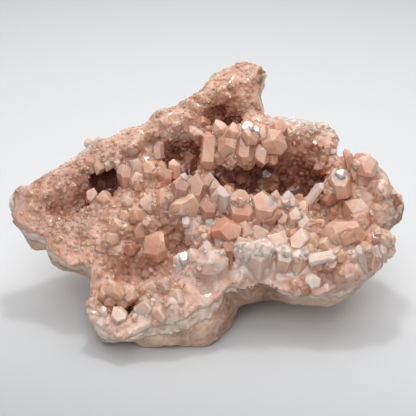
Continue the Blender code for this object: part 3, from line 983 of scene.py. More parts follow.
UPPER_WALL = (  # around the upper pockets
    ((7.5, 35, 2.4), 1.3, 2.6, (-0.012, 0.065, 1), 0.1, 0, FACET),
    ((-10.4, 5, 1.5), 1.7, 5.2, (0.1, 0.7, 1), 0.55),
    ((-13.2, 4, 2), 1.9, 4.4, (-0.2, 0.4, 1), 0.55),
    ((-17.5, 4.8, 2), 2.2, 5.4, (0, 0.6, 1), 0.5),
    ((-21.5, 2.5, 1.2), 1.9, 4.4, (-0.2, 0.4, 1), 0.5),
    ((-22.8, 8.6, 2.2), 2.2, 4.2, (0, -0.2, 1), 0.25),
    ((-18.8, 11, 0.6), 1.9, 6.4, (0, 0.9, 0.7), 0.45, 0.4),
    ((-15.6, 12.4, 0.6), 1.8, 6, (0.1, 0.9, 0.7), 0.45, 0.5),
    ((-37, 9.2, 3), 2, 4.4, (0.1, -1, -0.1), 0.5),
    ((-33.6, 10.8, 3), 1.9, 5.6, (0, -1, -0.1), 0.55),
    ((-30.6, 11.4, 2.6), 1.6, 4.6, (0, -1, -0.1), 0.5),
    ((-28, 11.6, 2.2), 1.7, 5, (0.2, -1, 0), 0.55),
    ((-36.2, -1.6, -1.6), 1.7, 4, (0.1, 0.8, 1), 0.55),
    ((-31.6, -2.6, -1.8), 2.3, 4.6, (0.1, 0.7, 1), 0.5),
    ((-4.1, 20.4, 1.6), 1.9, 3, (0, 0.2, 1), 0.45, 0, BLUNT),
    ((-25.6, 3.4, -0.6), 2.1, 6.4, (-0.3, 0.7, 1), 0.55, 0.3),
    ((-24.4, 6.8, -0.4), 1.9, 5, (-0.2, 0.6, 1), 0.5, 0.4),
    ((-33.4, 18.6, 0), 1.5, 5.4, (-1, -0.05, 0), 0.35, 0, LUMP),
)


@dataclass
class NamedCrystals:
    """The large crystals."""

    root: float = 0.9  # how far a crystal goes on under the ground, beyond its radius
    roots: tuple[float, ...] = (1.0, 0.75, 0.5, 0.3)  # shares of that depth, tried in turn
    stub: float = 0.15  # share of it that always fits
    core: float = 0.6  # share of the radius that covers the ground
    overlap: float = 1.3  # how much wider than its measured radius a crystal is grown, as a factor
    taller: float = 0.8  # how much longer it is grown, in millimetres
    lean: float = 0.18  # how far a crystal leans out of line, in radians
    seed: int = 11  # start of the chances
    worn: dict[Habit, float] = field(  # width of the worn edges of each habit, as a share of the radius
        default_factory=lambda: {POINT: 0.06, BLUNT: 0.16, BLADE: 0.06, LUMP: 0.12, FACET: 0.05}
    )
    # the crystals, grouped by the part of the hollow that they grow in
    crystals: tuple[Named, ...] = tuple(
        Named(*row)
        for row in MIDDLE_MOUND + SILL + HANGING + RIGHT_WALL + FRONT_RIM + FRONT_LOBE + UPPER_WALL
    )

    def covered(self, points: Array) -> Array:
        """Which points lie in a large crystal, under it or close to it.

        Args:
            points: face coordinates, one row each.

        Returns:
            True for each such point.
        """
        hidden = np.zeros(len(points), bool)
        for named in self.crystals:
            own = moved(points, named.place().inverted())
            across = np.hypot(own[:, 0], own[:, 1])
            hidden |= (across < named.radius * self.core) & (np.abs(own[:, 2]) < named.length)
        return hidden

    def root_length(self, named: Named, ground: "Ground") -> float:
        """How deep a crystal can go on under the ground without coming out below.

        Args:
            named: the crystal.
            ground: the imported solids.

        Returns:
            The length of its root.
        """
        place, wide = named.place(), named.radius
        full = wide + self.root
        turns = [side * math.pi / 3 for side in range(6)]
        for share in self.roots:
            ring = (
                place @ Vector((wide * math.cos(turn), wide * math.sin(turn), -full * share))
                for turn in turns
            )
            if all(ground.inside(point) for point in ring):
                return full * share
        return full * self.stub

    def sway(self, chance: random.Random) -> Matrix:
        """Small lean out of line, in any direction."""
        ahead = Matrix.Rotation(chance.uniform(-self.lean, self.lean), 4, "X")
        return ahead @ Matrix.Rotation(chance.uniform(-self.lean, self.lean), 4, "Y")

    def build(self, ground: "Ground") -> Obj:
        """Builds all named crystals as one piece.

        Args:
            ground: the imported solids.

        Returns:
            The piece, in face millimetres.
        """
        chance = random.Random(self.seed)
        whole = bmesh.new()
        layers = {name: whole.verts.layers.float.new(name) for name in CRYSTAL_VALUES}
        # edge marks carry the painted highlight of the rounded edges
        edge = whole.faces.layers.float.new("edge")
        for named in self.crystals:
            crystal = Crystal(
                named.radius * self.overlap,
                named.length + self.taller,
                self.root_length(named, ground),
                named.habit,
                self.worn[named.habit],
            )
            place = named.place()
            sway = Matrix() if named.habit is FACET else self.sway(chance)
            single = crystal.shape(chance, sway)
            values = {"tone": named.tone, "mauve": named.mauve, "chance": chance.random()}
            made = {vert: whole.verts.new(place @ vert.co) for vert in single.verts}
            for old, vert in made.items():
                # painted shade: the foot is redder than the tip
                values["tip"] = min(max(old.co.z / named.length, 0), 1)
                for name, layer in layers.items():
                    vert[layer] = values[name]
            old_edge = single.faces.layers.float["edge"]
            for old in single.faces:
                face = whole.faces.new([made[vert] for vert in old.verts])
                face[edge] = old[old_edge]
            single.free()
        return linked("named_crystals", mesh_of(whole, "named_crystals"))


# ---------------------------------------------------------------- ground
@dataclass
class Ground:
    """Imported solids, and search trees over them."""

    stone: Obj  # copy of the matrix, in face millimetres
    crust: Obj  # copy of the crust, in face millimetres

    def __post_init__(self) -> None:
        """Builds the trees."""
        self.stone_tree = tree_of(self.stone.data)
        self.crust_tree = tree_of(self.crust.data)

    def inside(self, point: Vector) -> bool:
        """Whether a point lies inside the stone or the crust."""
        hits = (tree.find_nearest(point) for tree in (self.stone_tree, self.crust_tree))
        return any((point - near).dot(normal) < 0 for near, normal, _, _ in hits)


@dataclass(frozen=True)
class Chips:
    """Relief of broken quartz: flat chips that lean in all directions."""

    grains: Triple = (1.2, 2.4, 4.2)  # size of the chips at each scale
    steep: Triple = (0.32, 0.34, 0.4)  # how far they lean
    gap: tuple[float, float] = (0.35, 0.1)  # depth and share of the gaps between them
    gapped: float = 0.6  # chance from which a chip has a gap around it
    finer: float = 0.3  # share of the finest chips that lie over the others
    apart: float = 50  # how far those are shifted against the others
    shuffle: float = 7.3  # stretches the chips' middles, so that each has chances of its own
    # grains of the ground between which one scale passes into the next
    fine: tuple[float, float] = (0.6, 0.9)
    coarse: tuple[float, float] = (1.1, 1.4)

    def one(self, points: Array, scale: int) -> tuple[Array, Array]:
        """Relief of one scale.

        Args:
            points: face coordinates, one row each.
            scale: which of the sizes.

        Returns:
            Heights in millimetres, and one chance for each place, the same all over a chip.
        """
        grain = self.grains[scale]
        heights, chances = np.empty(len(points)), np.empty(len(points))
        for index, point in enumerate(points):
            place = Vector(point) / grain
            near, seats = noise.voronoi(place)
            own = noise.cell_vector(seats[0] * self.shuffle)
            lean = own - Vector((0.5, 0.5, 0.5))
            edge = max(0.0, 1 - (near[1] - near[0]) / self.gap[1])
            height = (place - seats[0]).dot(lean) * 2 * self.steep[scale] * grain
            heights[index] = height - (self.gap[0] * grain * edge if own.x > self.gapped else 0)
            chances[index] = own.y
        return heights, chances

    def relief(self, points: Array, grain: Array) -> tuple[Array, Array]:
        """Relief that follows the ground's grain.

        Args:
            points: face coordinates, one row each.
            grain: coarseness at each of them.

        Returns:
            Heights in millimetres, and one chance for each place.
        """
        middling, coarse = smooth_step(*self.fine, grain), smooth_step(*self.coarse, grain)
        heights, chances = np.zeros(len(points)), np.zeros(len(points))
        for scale, share in enumerate((1 - middling, middling * (1 - coarse), coarse)):
            height, chance = self.one(points, scale)
            heights += share * height
            chances += share * chance
        finer, _ = self.one(points + self.apart, 0)
        return heights + self.finer * finer, chances


# Areas of the face: the value around the zones, and the zones.
AREAS: dict[str, tuple[float, tuple[Zone, ...]]] = {
    "grain": (0.8, zones(  # coarseness of the ground
        (-20, 20, 44, 9, 33, 0.45), (-50, -8, 14, 14, 0, 0.5), (10, 40, 13, 10, 20, 0.5),
        (31, 20, 12, 6, -8, 0.5), (-28, -14, 12, 12, 0, 0.65), (-10, -4, 12, 9, 10, 1.1),
        (11, 14, 10, 8, 0, 1.4), (18, -8, 16, 8, 0, 1.3), (46, -4, 10, 22, 0, 1.4),
        (15, -22, 14, 6, 5, 1), (-18, -34, 16, 10, 0, 0.75), (0, -27, 6, 5, 0, 0.45),
    )),
    "smooth": (0, zones(  # bare chalcedony
        (-20, -44, 20, 3.5, 5, 0.6), (2, -31, 9, 4, 30, 1), (16, -28, 14, 3, 0, 1),
        (-58, -4, 3, 9, 0, 1), (-46, -20, 14, 2.5, -33, 1), (46, -29, 16, 3, 25, 0.8),
        (17, 42, 2.5, 8, 0, 0.8), (50, 0, 7, 9, 0, 1), (44, -29, 7, 5, 0, 1),
        (0, -31, 6, 3, 20, 1), (18, -26, 9, 4, 0, 0.8), (52, -12, 5, 8, 0, 0.8),
    )),
    "proud": (0.55, zones(  # share that is left of what stands out of the crust
        (0, -27, 7, 6, 0, 1), (18, -25, 9, 5, 0, 1), (43, -29, 8, 6, 0, 1), (49, 0, 8, 9, 0, 1),
        (52, -14, 6, 10, 0, 1), (-20, 20, 44, 7, 33, 0.8), (10, 40, 12, 10, 20, 0.8),
    )),
    "grown": (0, zones(  # where the crystals' feet are grown together
        (20, -15, 20, 8, 0, 0.8), (-12, -8, 14, 7, 0, 0.7), (12, 12, 10, 4, 0, 0.5),
        (45, -15, 8, 11, 0, 0.7), (-24, 6, 12, 6, 20, 0.6), (-22, -34, 10, 5, 0, 0.6),
    )),
    "lit": (0, zones(  # where a pocket gets no painted shade
        (41, -5, 7, 8, 0, 1.1), (-20, -16, 9, 6, 0, 0.6), (20, -16, 22, 9, 0, 1.2),
        (-12, -8, 14, 8, 0, 1.2), (0, -27, 7, 5, 0, 1.2), (12, 13, 9, 4, 0, 0.8),
    )),
    "tone": (0.5, zones(  # from white to red
        (-25, 24, 22, 1.7, 34, -0.9), (4, -18, 14, 4, 0, 0.25), (4, 31, 4, 3, 0, 0.95),
        # the zone at (33, -31) darkens the shaded mass under the right front rim: painted shade
        (33, -31, 9, 3, 0, 0.65), (-20, 20, 44, 9, 33, 0.55), (10, 40, 12, 9, 20, 0.55),
        (-48, -8, 14, 12, 0, 0.55), (-36, -16, 12, 6, -20, 0.5), (-28, -8, 9, 8, 0, 0.4),
        (31, 20, 12, 6, -8, 0.35), (29, 25.5, 8, 2, -8, -0.7), (11, 14, 10, 8, 0, 0.6),
        # the zone at (30, 9) darkens the right part of the large pocket: painted shade
        (41, -5, 6, 7, 0, 0.45), (30, 9, 7, 6, 0, 1.1), (-38.5, 3.5, 3, 3, 0, 1.1),
        (-43.5, -4.5, 7, 2.5, 15, 0.95), (15, -24, 14, 5, 5, -0.15), (0, -27, 7, 6, 0, 0.25),
        (-18, -42, 20, 5, 0, 0.15), (52, -24, 8, 8, 0, 0.2), (50, 0, 7, 9, 0, 0.35),
        (52, -12, 5, 7, 0, 0.35),
    )),
    "mauve": (0, zones(  # how violet
        # the zone at (33, -31) greys the shaded mass under the right front rim: painted shade
        (33, -31, 9, 3, 0, 1.6), (-58, -6, 4, 12, 0, 1.4), (-40, -2, 8, 6, 0, 0.8),
        (12, 36, 9, 5, 20, 0.6), (34, 6, 6, 5, 0, 1.2),
    )),
    "bark": (0, zones(  # stained skin over the quartz
        (58, -4, 1.8, 3.5, 0, 1.3), (19.3, 41, 2.4, 6, 0, 1.6), (36.5, 22.5, 2.6, 1.8, 0, 1.4),
        (15, -33, 5, 2, 10, 1.2), (-44, -9, 6, 3, 0, 0.7), (-34.8, -18.5, 5, 3, 0, 0.65),
    )),
    "stain": (0.3, zones(  # paler or browner skin of the stone
        (56, -6, 6, 8, 0, 0.7), (18, 44, 4, 7, 0, 0.6), (37, 24, 6, 5, 0, 0.5),
        (15, -31, 7, 5, 10, 1.1), (6, -35, 3, 7, 20, 0.7), (-50, -16, 20, 6, -33, 0.5),
        (-27, -46, 11, 5, 0, 0), (-6, -44, 9, 6, 20, 0.5),
    )),
    "bare": (0, zones(  # where that skin reaches up to the crystals
        (15, -31, 7, 5, 10, 1), (6, -35, 3, 7, 20, 0.7), (56, -6, 6, 8, 0, 0.8),
    )),
}


def painted(name: str, points: Array) -> Array:
    """Average of some areas' values, weighted by nearness.

    Args:
        name: name of the areas.
        points: face coordinates, one row each.

    Returns:
        One value for each point.
    """
    base, areas = AREAS[name]
    total = np.full(len(points), BASE_WEIGHT)
    value = total * base
    for zone in areas:
        weight = zone.weight(points)
        total = total + weight
        value = value + weight * zone.value
    return value / total


@dataclass
class CrystalBed:
    """Ground of grown-together quartz that fills the hollow between the crystals."""

    voxel: float = 0.38  # grain of its mesh
    floor_voxel: float = 0.8  # grain of the bare floor
    triangles: int = 196000  # how many it may have
    grown: float = 1.6  # how far the crystals' feet are grown together, in millimetres
    # height above the bare stone that the crust's floor is lowered to
    level: float = CRUST_DEPTH + 0.25
    under: float = 0.12  # how far the bed stays inside the crystals' own faces
    # how close to a large crystal its own colour holds, and where it ends
    reach: tuple[float, float] = (0.25, 0.9)
    chips: Chips = Chips()  # the relief that it is covered with
    calm: float = 0.6  # how much of the relief is missing in the smooth zones
    pressed: float = 0.85  # how much of it is missing close to a large crystal
    clear: float = 1.35  # how soon a smooth zone is free of strewn crystals
    # painted shade of pockets: a place that few of these rays leave is coloured darker and redder
    rays: int = 10  # how many ways out are looked for from each place
    far: float = 14.0  # how close a wall shuts a place in
    shut: tuple[float, float] = (0.45, 1.0)  # shares of shut ways on open ground and in a pocket, between which the painted shade grows from none to full
    seated: float = 0.7  # how far its underside goes into the stone, in millimetres
    seam: tuple[float, float] = (0.15, 0.6)  # distances from the stone where the underside ends
    paler: float = 0.2  # how much redder and darker the bottom of a pocket is painted: painted shade
    deeper: float = 0.65  # how much redder the bottom of a pocket is
    crevice: float = 0.3  # how much redder and darker a crevice is painted: painted shade
    odd: float = 0.18  # how much the reddest and the palest chips differ from the others
    odd_chips: tuple[float, float] = (0.12, 0.86)  # chances where those begin
    drift: float = 9  # size of the drifts of violet, in millimetres
    drift_from: float = 40  # where their noise starts
    most_mauve: float = 1.2  # the most violet that any place may be
    spread: int = 3  # how many edges away a place's surroundings reach
    fold: float = 0.25  # depth below them that counts as a full crevice for the painted shade, in millimetres
    ridge: float = 0.3  # how much a ridge counts against a crevice at most: the painted highlight that makes it paler
    crest: float = 0.15  # height from which a ridge gets the pale painted highlight of an edge, in folds
    hidden: float = 0.6  # distance from the stone below which the mesh is thinned out
    thinned: float = 0.85  # share of the triangles there that may go

    def floor(self, ground: Ground, named: NamedCrystals) -> Obj:
        """Builds the bare floor, with the values that the strewn crystals read from it.

        Args:
            ground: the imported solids.
            named: the large crystals.

        Returns:
            The floor, in face millimetres.
        """
        obj = ground.crust
        obj.name = "crystal_bed"
        self.levelled(obj, ground)
        remeshed(obj, self.floor_voxel, wear=3)
        points = points_of(obj.data)
        open_air = smooth_step(*OPEN_AIR, distances(ground.stone_tree, points))
        grown = self.grown * open_air * painted("grown", points)
        points = points + normals_of(obj.data) * grown[:, None]
        place_points(obj.data, points)
        bare = 1 - named.covered(points)
        rough = 1 - np.minimum(self.clear * painted("smooth", points), 1)
        store(obj.data, "cover", open_air * bare * rough)
        store(obj.data, "grain", painted("grain", points))
        store(obj.data, "tone", painted("tone", points))
        store(obj.data, "mauve", 0.5 * smooth_step(0.1, 0.5, self.drifts(points)))
        return obj

    def drifts(self, points: Array) -> Array:
        """Noise of the drifts of violet."""
        return ripple(points + self.drift_from, self.drift)

    def build(self, obj: Obj, ground: Ground, crystals: list[Obj]) -> None:
        """Fuses the floor with the crystals that stand on it.

        Args:
            obj: the floor.
            ground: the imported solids.
            crystals: the pieces of crystals.
        """
        together = joined([piece.data for piece in crystals], "crystals_together")
        self.fused(obj, together)
        remeshed(obj, self.voxel, wear=5)
        self.thin_back(obj, ground)
        points, normals = points_of(obj.data), normals_of(obj.data)
        away = distances(ground.stone_tree, points)
        open_air = smooth_step(*OPEN_AIR, away)
        # painted shade: places deep in a pocket are coloured darker and redder, less so in the lit
        # zones
        shut = self.shut_in(tree_of(obj.data), points, normals)
        shut = shut * np.clip(1 - painted("lit", points), 0, 1)
        taken, own = self.near_crystals(together, points)
        height, chip = self.chips.relief(points, painted("grain", points))
        calm = 1 - self.calm * painted("smooth", points)
        height = height * open_air * calm * (1 - self.pressed * taken)
        height = height + self.seated * (1 - smooth_step(*self.seam, away))
        place_points(obj.data, points + normals * height[:, None])
        tone = painted("tone", points) - self.paler * (1 - open_air)
        mauve = 0.4 * smooth_step(0.0, 0.4, self.drifts(points))
        mauve = np.clip(mauve + painted("mauve", points), 0, self.most_mauve)
        low, high = self.odd_chips
        tone = tone + self.odd * (chip < low) - self.odd * (chip > high)
        # painted shade: low chips are redder than high ones
        tip = np.clip(0.5 + height, 0, 1)
        hollow = self.hollowness(obj.data) / self.fold
        for name, plain in zip(CRYSTAL_VALUES, (tone, mauve, chip, tip)):
            value = plain * (1 - taken) + own[name] * taken
            # the painted shade of pockets and crevices, and the painted highlight of ridges, go into
            # the tone
            if name == "tone":
                value = value + self.deeper * shut
                value = value + self.crevice * open_air * np.clip(hollow, -self.ridge, 1)
            store(obj.data, name, value)
        # painted highlight: ridges are marked to be paler, as edges are
        store(obj.data, "edge", np.clip(-hollow - self.crest, 0, 1))
        store(obj.data, "bark", painted("bark", points))
        store(obj.data, "shut", shut)
        smoothed(obj.data)

    def shade(self, obj: Obj, pieces: list[Obj]) -> None:
        """Gives the crystals the painted shade of the pockets that they stand in: a darker, redder
        colour.

        Args:
            obj: the bed.
            pieces: the pieces of crystals.
        """
        tree = tree_of(obj.data)
        corners = np.array([face.vertices[0] for face in obj.data.polygons])
        shut = kept_values(obj.data, "shut")
        for piece in pieces:
            nearest = [tree.find_nearest(vert.co)[2] for vert in piece.data.vertices]
            tone = kept_values(piece.data, "tone") + self.deeper * shut[corners[nearest]]
            piece.data.attributes["tone"].data.foreach_set("value", tone.astype(np.float32))

    def hollowness(self, mesh: Mesh) -> Array:
        """How far each place lies below its surroundings.

        Args:
            mesh: the bed's mesh.

        Returns:
            Depth in millimetres, below zero on ridges.
        """
        places = points_of(mesh)
        around = averaged(mesh, places, self.spread)
        return np.einsum("ij,ij->i", around - places, normals_of(mesh))

    def fused(self, obj: Obj, together: Mesh) -> None:
        """Adds a slightly smaller copy of the crystals to the floor's mesh.

        Args:
            obj: the floor.
            together: all the crystals.
        """
        smaller = linked("smaller", together.copy())
        settled(smaller, "DISPLACE", strength=-self.under, mid_level=0)
        obj.data = joined([obj.data, smaller.data], "crystal_bed")
        bpy.data.objects.remove(smaller)

    def levelled(self, obj: Obj, ground: Ground) -> None:
        """Lowers what stands out of the crust's floor.

        Args:
            obj: the crust.
            ground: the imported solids.
        """
        proud = painted("proud", points_of(obj.data))
        for vert, left in zip(obj.data.vertices, proud):
            near, _, _, away = ground.stone_tree.find_nearest(vert.co)
            if away > self.level:
                height = self.level + (away - self.level) * left
                vert.co = near + (vert.co - near) * height / away

    def near_crystals(self, mesh: Mesh, points: Array) -> tuple[Array, dict[str, Array]]:
        """Values of the large crystals at the places close to them.

        Args:
            mesh: all the crystals.
            points: face coordinates, one row each.

        Returns:
            How much each place belongs to a crystal, and that crystal's values.
        """
        tree = tree_of(mesh)
        hits = [tree.find_nearest(Vector(point)) for point in points]
        corner = np.array([mesh.polygons[hit[2]].vertices[0] for hit in hits])
        own = {name: kept_values(mesh, name)[corner] for name in CRYSTAL_VALUES}
        return 1 - smooth_step(*self.reach, np.array([hit[3] for hit in hits])), own

    def shut_in(self, tree: BVHTree, points: Array, normals: Array) -> Array:
        """How deep in a pocket each place lies, which sets the painted shade there.

        Args:
            tree: the bed's surface.
            points: face coordinates, one row each.
            normals: the bed's normals there.

        Returns:
            0 on open ground, 1 at the bottom of a pocket.
        """
        ways = np.random.default_rng(1).normal(size=(self.rays, 3))
        ways /= np.linalg.norm(ways, axis=1, keepdims=True)
        shut = np.zeros(len(points))
        for index, (point, normal) in enumerate(zip(points, normals)):
            start = Vector(point + normal * self.voxel)
            hits = (tree.ray_cast(start, Vector(way + 1.1 * normal), self.far) for way in ways)
            shut[index] = sum(hit[0] is not None for hit in hits)
        return smooth_step(*self.shut, shut / self.rays)

    def thin_back(self, obj: Obj, ground: Ground) -> None:
        """Thins the mesh out where it lies against the stone, until it is light enough.

        Args:
            obj: the bed.
            ground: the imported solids.
        """
        away = distances(ground.stone_tree, points_of(obj.data))
        below = np.flatnonzero(away < self.hidden)
        group = obj.vertex_groups.new(name="hidden")
        group.add([int(index) for index in below], 1, "REPLACE")
        ratio = 1 - self.thinned * len(below) / len(away)
        settled(obj, "DECIMATE", ratio=ratio, vertex_group="hidden", vertex_group_factor=10)
        settled(obj, "DECIMATE", ratio=min(1, self.triangles / triangle_count(obj.data)))


@dataclass
class Rind:
    """The stone wall: its weathered outside and its broken edge."""

    voxel: float = 0.7  # grain of its mesh
    swell: float = 0.3  # how far the stone swells against the crust, in millimetres
    # sizes and heights of its lumps
    lumps: tuple[tuple[float, float], ...] = ((7.0, 0.9), (2.6, 0.5), (1.2, 0.25))
    lumpy: tuple[float, float] = (0.2, 2.5)  # distances from the crust where the lumps begin
    swollen: tuple[float, float] = (0.4, 2.0)  # distances from the crust where the swelling ends
    rim: float = 5.5  # width of the pale broken edge, in millimetres

    def build(self, ground: Ground, material: Material) -> None:
        """Builds the rind.

        Args:
            ground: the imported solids.
            material: its finish.
        """
        obj = ground.stone
        obj.name = "rind"
        remeshed(obj, self.voxel, wear=8)
        points, normals = points_of(obj.data), normals_of(obj.data)
        away = distances(ground.crust_tree, points)
        height = sum(depth * ripple(points, grain) for grain, depth in self.lumps)
        height = height * smooth_step(*self.lumpy, away)
        height = height + self.swell * (1 - smooth_step(*self.swollen, away))
        points = points + normals * height[:, None]
        world = moved(points, FACE.to_world())
        world[:, 2] = np.maximum(world[:, 2], 0)
        place_points(obj.data, moved(world, FACE.to_face()))
        rim = 1 - np.clip(away / self.rim, 0, 1)
        store(obj.data, "rim", rim * (1 - 0.8 * painted("bare", points)))
        store(obj.data, "stain", painted("stain", points))
        smoothed(obj.data)
        finish_piece(obj, "matrix", material)


# ---------------------------------------------------------------- druse
@dataclass(frozen=True)
class Layer:
    """One size of small crystals. The numbers go into DruseTree under these names."""

    name: str  # name of the piece
    spacing: float  # least distance between crystals
    density: float  # crystals tried for each square millimetre
    grain_from: float  # lowest coarseness of the ground where they grow
    grain_to: float  # highest
    size: float  # their size against the ground's grain
    lean: float  # how far they lean out of line
    seed: int  # start of the chances
    heights: tuple[float, float]  # lowest and highest, in radii


@dataclass
class DruseTree:
    """Geometry Nodes that strew crystals over the ground."""

    # direction that the crystals lean towards, added to the ground's normal
    upward: Triple = (0, 0.35, 0.1)
    sizes: tuple[float, float] = (0.65, 1.35)  # lowest and highest size against the layer's

    def __post_init__(self) -> None:
        """Builds the tree."""
        self.tree = bpy.data.node_groups.new("druse", "GeometryNodeTree")
        self.graph = Graph(self.tree)
        numbers = ("spacing", "density", "grain_from", "grain_to", "size", "lean")
        self.given, result = self.graph.ends(
            {
                "Geometry": "Geometry",
                "crystals": "Collection",
                **dict.fromkeys(numbers, "Float"),
                "seed": "Int",
                "finish": "Material",
            },
            {"Geometry": "Geometry"},
        )
        node, given = self.graph.node, self.given
        grain, cover = self.kept("grain"), self.kept("cover")
        coarse = self.compare("GREATER_THAN", grain, given["grain_from"])
        fine = self.compare("LESS_THAN", grain, given["grain_to"])
        both = node("FunctionNodeBooleanMath", {0: coarse, 1: fine}, operation="AND").outputs[0]
        values = {
            "Mesh": given["Geometry"],
            "Selection": both,
            "Distance Min": given["spacing"],
            "Density Max": given["density"],
            "Density Factor": cover,
            "Seed": given["seed"],
        }
        strewn = node("GeometryNodeDistributePointsOnFaces", values, distribute_method="POISSON")
        shapes = node(
            "GeometryNodeCollectionInfo",
            {"Collection": given["crystals"], "Separate Children": True, "Reset Children": True},
        )
        planted = node(
            "GeometryNodeInstanceOnPoints",
            {
                "Points": strewn.outputs["Points"],
                "Instance": shapes.outputs["Instances"],
                "Pick Instance": True,
                "Rotation": self.rotation(strewn.outputs["Normal"]),
                "Scale": self.scale(grain),
            },
        )
        mark = {"Name": "chance", "Geometry": planted.outputs[0], "Value": self.chance(0.0, 1.0)}
        keep = {"data_type": "FLOAT", "domain": "INSTANCE"}
        marked = node("GeometryNodeStoreNamedAttribute", mark, **keep)
        real = node("GeometryNodeRealizeInstances", {"Geometry": marked.outputs[0]})
        finish = {"Geometry": real.outputs[0], "Material": given["finish"]}
        dressed = node("GeometryNodeSetMaterial", finish)
        self.graph.feed(result, {"Geometry": dressed.outputs[0]})

    def kept(self, name: str) -> Socket:
        """Number kept on the ground under this name."""
        node = self.graph.node("GeometryNodeInputNamedAttribute", {"Name": name}, data_type="FLOAT")
        return node.outputs["Attribute"]

    def compare(self, operation: str, first: Socket, second: Socket) -> Socket:
        """Compares two numbers."""
        values, settings = {0: first, 1: second}, {"data_type": "FLOAT", "operation": operation}
        return self.graph.node("FunctionNodeCompare", values, **settings).outputs[0]

    def chance(self, low: float, high: float) -> Socket:
        """Random number for each crystal."""
        values = {2: low, 3: high, "Seed": self.given["seed"]}
        return self.graph.node("FunctionNodeRandomValue", values, data_type="FLOAT").outputs[1]

    def rotation(self, normal: Socket) -> Socket:
        """Random lean and spin about the ground's normal.

        Args:
            normal: the ground's normal.

        Returns:
            The rotation.
        """
        graph = self.graph
        ways = {"Min": (-1, -1, -1), "Max": (1, 1, 1), "Seed": self.given["seed"]}
        sway = graph.node("FunctionNodeRandomValue", ways, data_type="FLOAT_VECTOR")
        upward = graph.vector("ADD", normal, self.upward)
        scaled = graph.scaled(sway.outputs[0], self.given["lean"])
        leaning = graph.vector("ADD", upward.outputs[0], scaled)
        vector = {"Vector": leaning.outputs[0]}
        aimed = graph.node("FunctionNodeAlignRotationToVector", vector, axis="Z")
        turn = {"Axis": (0, 0, 1), "Angle": self.chance(0.0, math.tau)}
        spin = graph.node("FunctionNodeAxisAngleToRotation", turn)
        both = {"Rotation": aimed.outputs[0], "Rotate By": spin.outputs[0]}
        return graph.node("FunctionNodeRotateRotation", both, rotation_space="LOCAL").outputs[0]

    def scale(self, grain: Socket) -> Socket:
        """Size that follows the ground's grain."""
        plain = self.graph.maths("MULTIPLY", grain, self.given["size"])
        return self.graph.maths("MULTIPLY", plain, self.chance(*self.sizes))

    def modifier(self, obj: Obj, values: dict[str, object]) -> bpy.types.NodesModifier:
        """Puts the tree on an object.

        Args:
            obj: the ground.
            values: the inputs, by name.

        Returns:
            The modifier.
        """
        made = obj.modifiers.new("druse", "NODES")
        made.node_group = self.tree
        for item in self.tree.interface.items_tree:
            if item.name in values and item.in_out == "INPUT":
                made[item.identifier] = values[item.name]
        return made


@dataclass
class Druse:
    """Small crystals between and around the large ones."""

    kinds: int = 7  # number of different crystal shapes in each layer
    root: float = 1.2  # how far they go on under the ground, in radii
    layers: tuple[Layer, ...] = (  # the sizes that are strewn
        Layer("coarse_crystals", 2.8, 0.8, 0.9, 9, 2.1, 0.6, 3, (0.6, 1.3)),
        Layer("middling_crystals", 1.7, 1.3, 0.58, 9, 1.4, 0.5, 5, (0.6, 1.4)),
        Layer("fine_druse", 1.1, 1.8, 0, 0.66, 1.25, 0.5, 7, (0.4, 1.0)),
    )

    def shapes(self, layer: Layer) -> bpy.types.Collection:
        """Builds the shapes that a layer picks from.

        Args:
            layer: the layer.

        Returns:
            Collection with one object for each shape, one millimetre in radius.
        """
        chance = random.Random(layer.seed)
        kept = bpy.data.collections.new(layer.name)
        bpy.context.scene.collection.children.link(kept)
        for kind in range(self.kinds):
            habit = BLUNT if kind % 3 == 2 else POINT
            crystal = Crystal(1, chance.uniform(*layer.heights), self.root, habit, 0.0)
            bm = crystal.shape(chance, Matrix())
            # the height along it sets its painted shade: redder at the foot
            height = bm.verts.layers.float.new("tip")
            for vert in bm.verts:
                vert[height] = min(max(vert.co.z / crystal.length, 0), 1)
            mesh = mesh_of(bm, f"{layer.name}_{kind}")
            kept.objects.link(bpy.data.objects.new(mesh.name, mesh))
        return kept

    def build(self, bed: Obj, material: Material) -> list[Obj]:
        """Strews every layer over the bed."""
        tree = DruseTree()
        return [self.strewn(tree, layer, bed, material) for layer in self.layers]

    def strewn(self, tree: DruseTree, layer: Layer, bed: Obj, material: Material) -> Obj:
        """Strews one layer.

        Args:
            tree: the nodes.
            layer: the layer.
            bed: the ground.
            material: finish of the crystals.

        Returns:
            The layer's crystals.
        """
        kept = self.shapes(layer)
        modifier = tree.modifier(bed, {**vars(layer), "crystals": kept, "finish": material})
        mesh = evaluated(bed)
        bed.modifiers.remove(modifier)
        for shape in list(kept.objects):
            bpy.data.objects.remove(shape)
        bpy.data.collections.remove(kept)
        mesh.name = layer.name
        return linked(layer.name, mesh)


# ---------------------------------------------------------------- studio
@dataclass(frozen=True)
class Lamp:
    """Square soft lamp: its name, its place and side in metres, and its power in watts."""

    name: str
    place: Triple
    size: float
    power: float


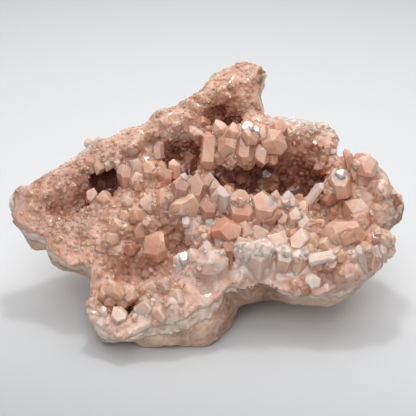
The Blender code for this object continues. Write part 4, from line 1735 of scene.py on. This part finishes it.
@dataclass
class Studio:
    """Pale paper, soft light from above and behind, and the camera."""

    target: Triple = (0.0006, -0.0045, 0.030)  # what the camera and the lamps look at, in metres
    distance: float = 0.305  # from the target to the camera
    elevation: float = 28  # of the camera above the horizon, in degrees
    lens: float = 85  # focal length in millimetres
    paper_size: float = 4.0  # side of the paper, in metres
    room_light: float = 0.07  # strength of the light of the white room
    lamps: tuple[Lamp, ...] = (  # the spark is seen in the flat tops of some crystals
        Lamp("overhead", (0.02, 0.14, 0.45), 0.72, 2.65),
        Lamp("spark", (0.01, 0.11, 0.46), 0.06, 0.48),
        Lamp("front_fill", (-0.03, -0.42, 0.47), 0.4, 1.8),
    )
    finish: PaperFinish = PaperFinish()  # the paper's finish

    def build(self) -> None:
        """Builds the studio."""
        self.paper()
        for lamp in self.lamps:
            self.hang(lamp)
        self.surroundings()
        self.camera()
        bpy.context.scene.view_settings.view_transform = "Standard"

    def paper(self) -> None:
        """Lays the paper."""
        bm = bmesh.new()
        bmesh.ops.create_grid(bm, x_segments=8, y_segments=8, size=self.paper_size / 2)
        mesh = mesh_of(bm, "paper")
        mesh.materials.append(self.finish.material())
        linked("paper", mesh)

    @staticmethod
    def placed(data: bpy.types.ID, place: Vector, aim: Vector) -> Obj:
        """Puts a lamp or the camera in its place.

        Args:
            data: its data.
            place: its place.
            aim: direction that it looks in.

        Returns:
            The object.
        """
        obj = linked(data.name, data)
        obj.location = place
        obj.rotation_euler = aim.to_track_quat("-Z", "Y").to_euler()
        return obj

    def hang(self, lamp: Lamp) -> None:
        """Hangs a lamp.

        Args:
            lamp: the lamp.
        """
        light = bpy.data.lights.new(lamp.name, "AREA")
        light.size = lamp.size
        light.energy = lamp.power
        self.placed(light, Vector(lamp.place), Vector(self.target) - Vector(lamp.place))

    def surroundings(self) -> None:
        """Sets the light of the white room."""
        world = bpy.data.worlds.new("white_room")
        world.use_nodes = True
        sky = world.node_tree.nodes["Background"]
        sky.inputs["Color"].default_value = (1.0, 1.0, 1.0, 1)
        sky.inputs["Strength"].default_value = self.room_light
        bpy.context.scene.world = world

    def camera(self) -> None:
        """Sets up the camera."""
        angle = math.radians(self.elevation)
        back = Vector((0, -math.cos(angle), math.sin(angle))) * self.distance
        data = bpy.data.cameras.new("camera")
        data.lens = self.lens
        data.clip_start = 0.01
        bpy.context.scene.camera = self.placed(data, Vector(self.target) + back, -back)


def main() -> None:
    """Builds the studio and every piece."""
    logging.basicConfig(level=logging.INFO, format="%(message)s")
    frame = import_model()
    Studio().build()
    stone, crust = (frame["nodes"][name] for name in ("matrix", "crystal_crust"))
    ground = Ground(merged_copy(stone, "matrix_copy"), merged_copy(crust, "crust_copy"))
    clear = QuartzFinish("clear_pink_quartz", 2.0, (0.08, 0.24), relief=0.08, coat=0.2).material()
    small = QuartzFinish("small_pink_quartz", 1.3, (0.1, 0.32), relief=0.1, coat=0.15).material()
    large, bed = NamedCrystals(), CrystalBed()
    named = large.build(ground)
    floor = bed.floor(ground, large)
    crystals = [named, *Druse().build(floor, clear)]
    bed.build(floor, ground, crystals)
    bed.shade(floor, crystals)
    finish_piece(floor, "crystal_crust", small)
    for piece in crystals:
        finish_piece(piece, "crystal_crust", clear)
    Rind().build(ground, RindFinish().material())


if __name__ == "__main__":
    main()
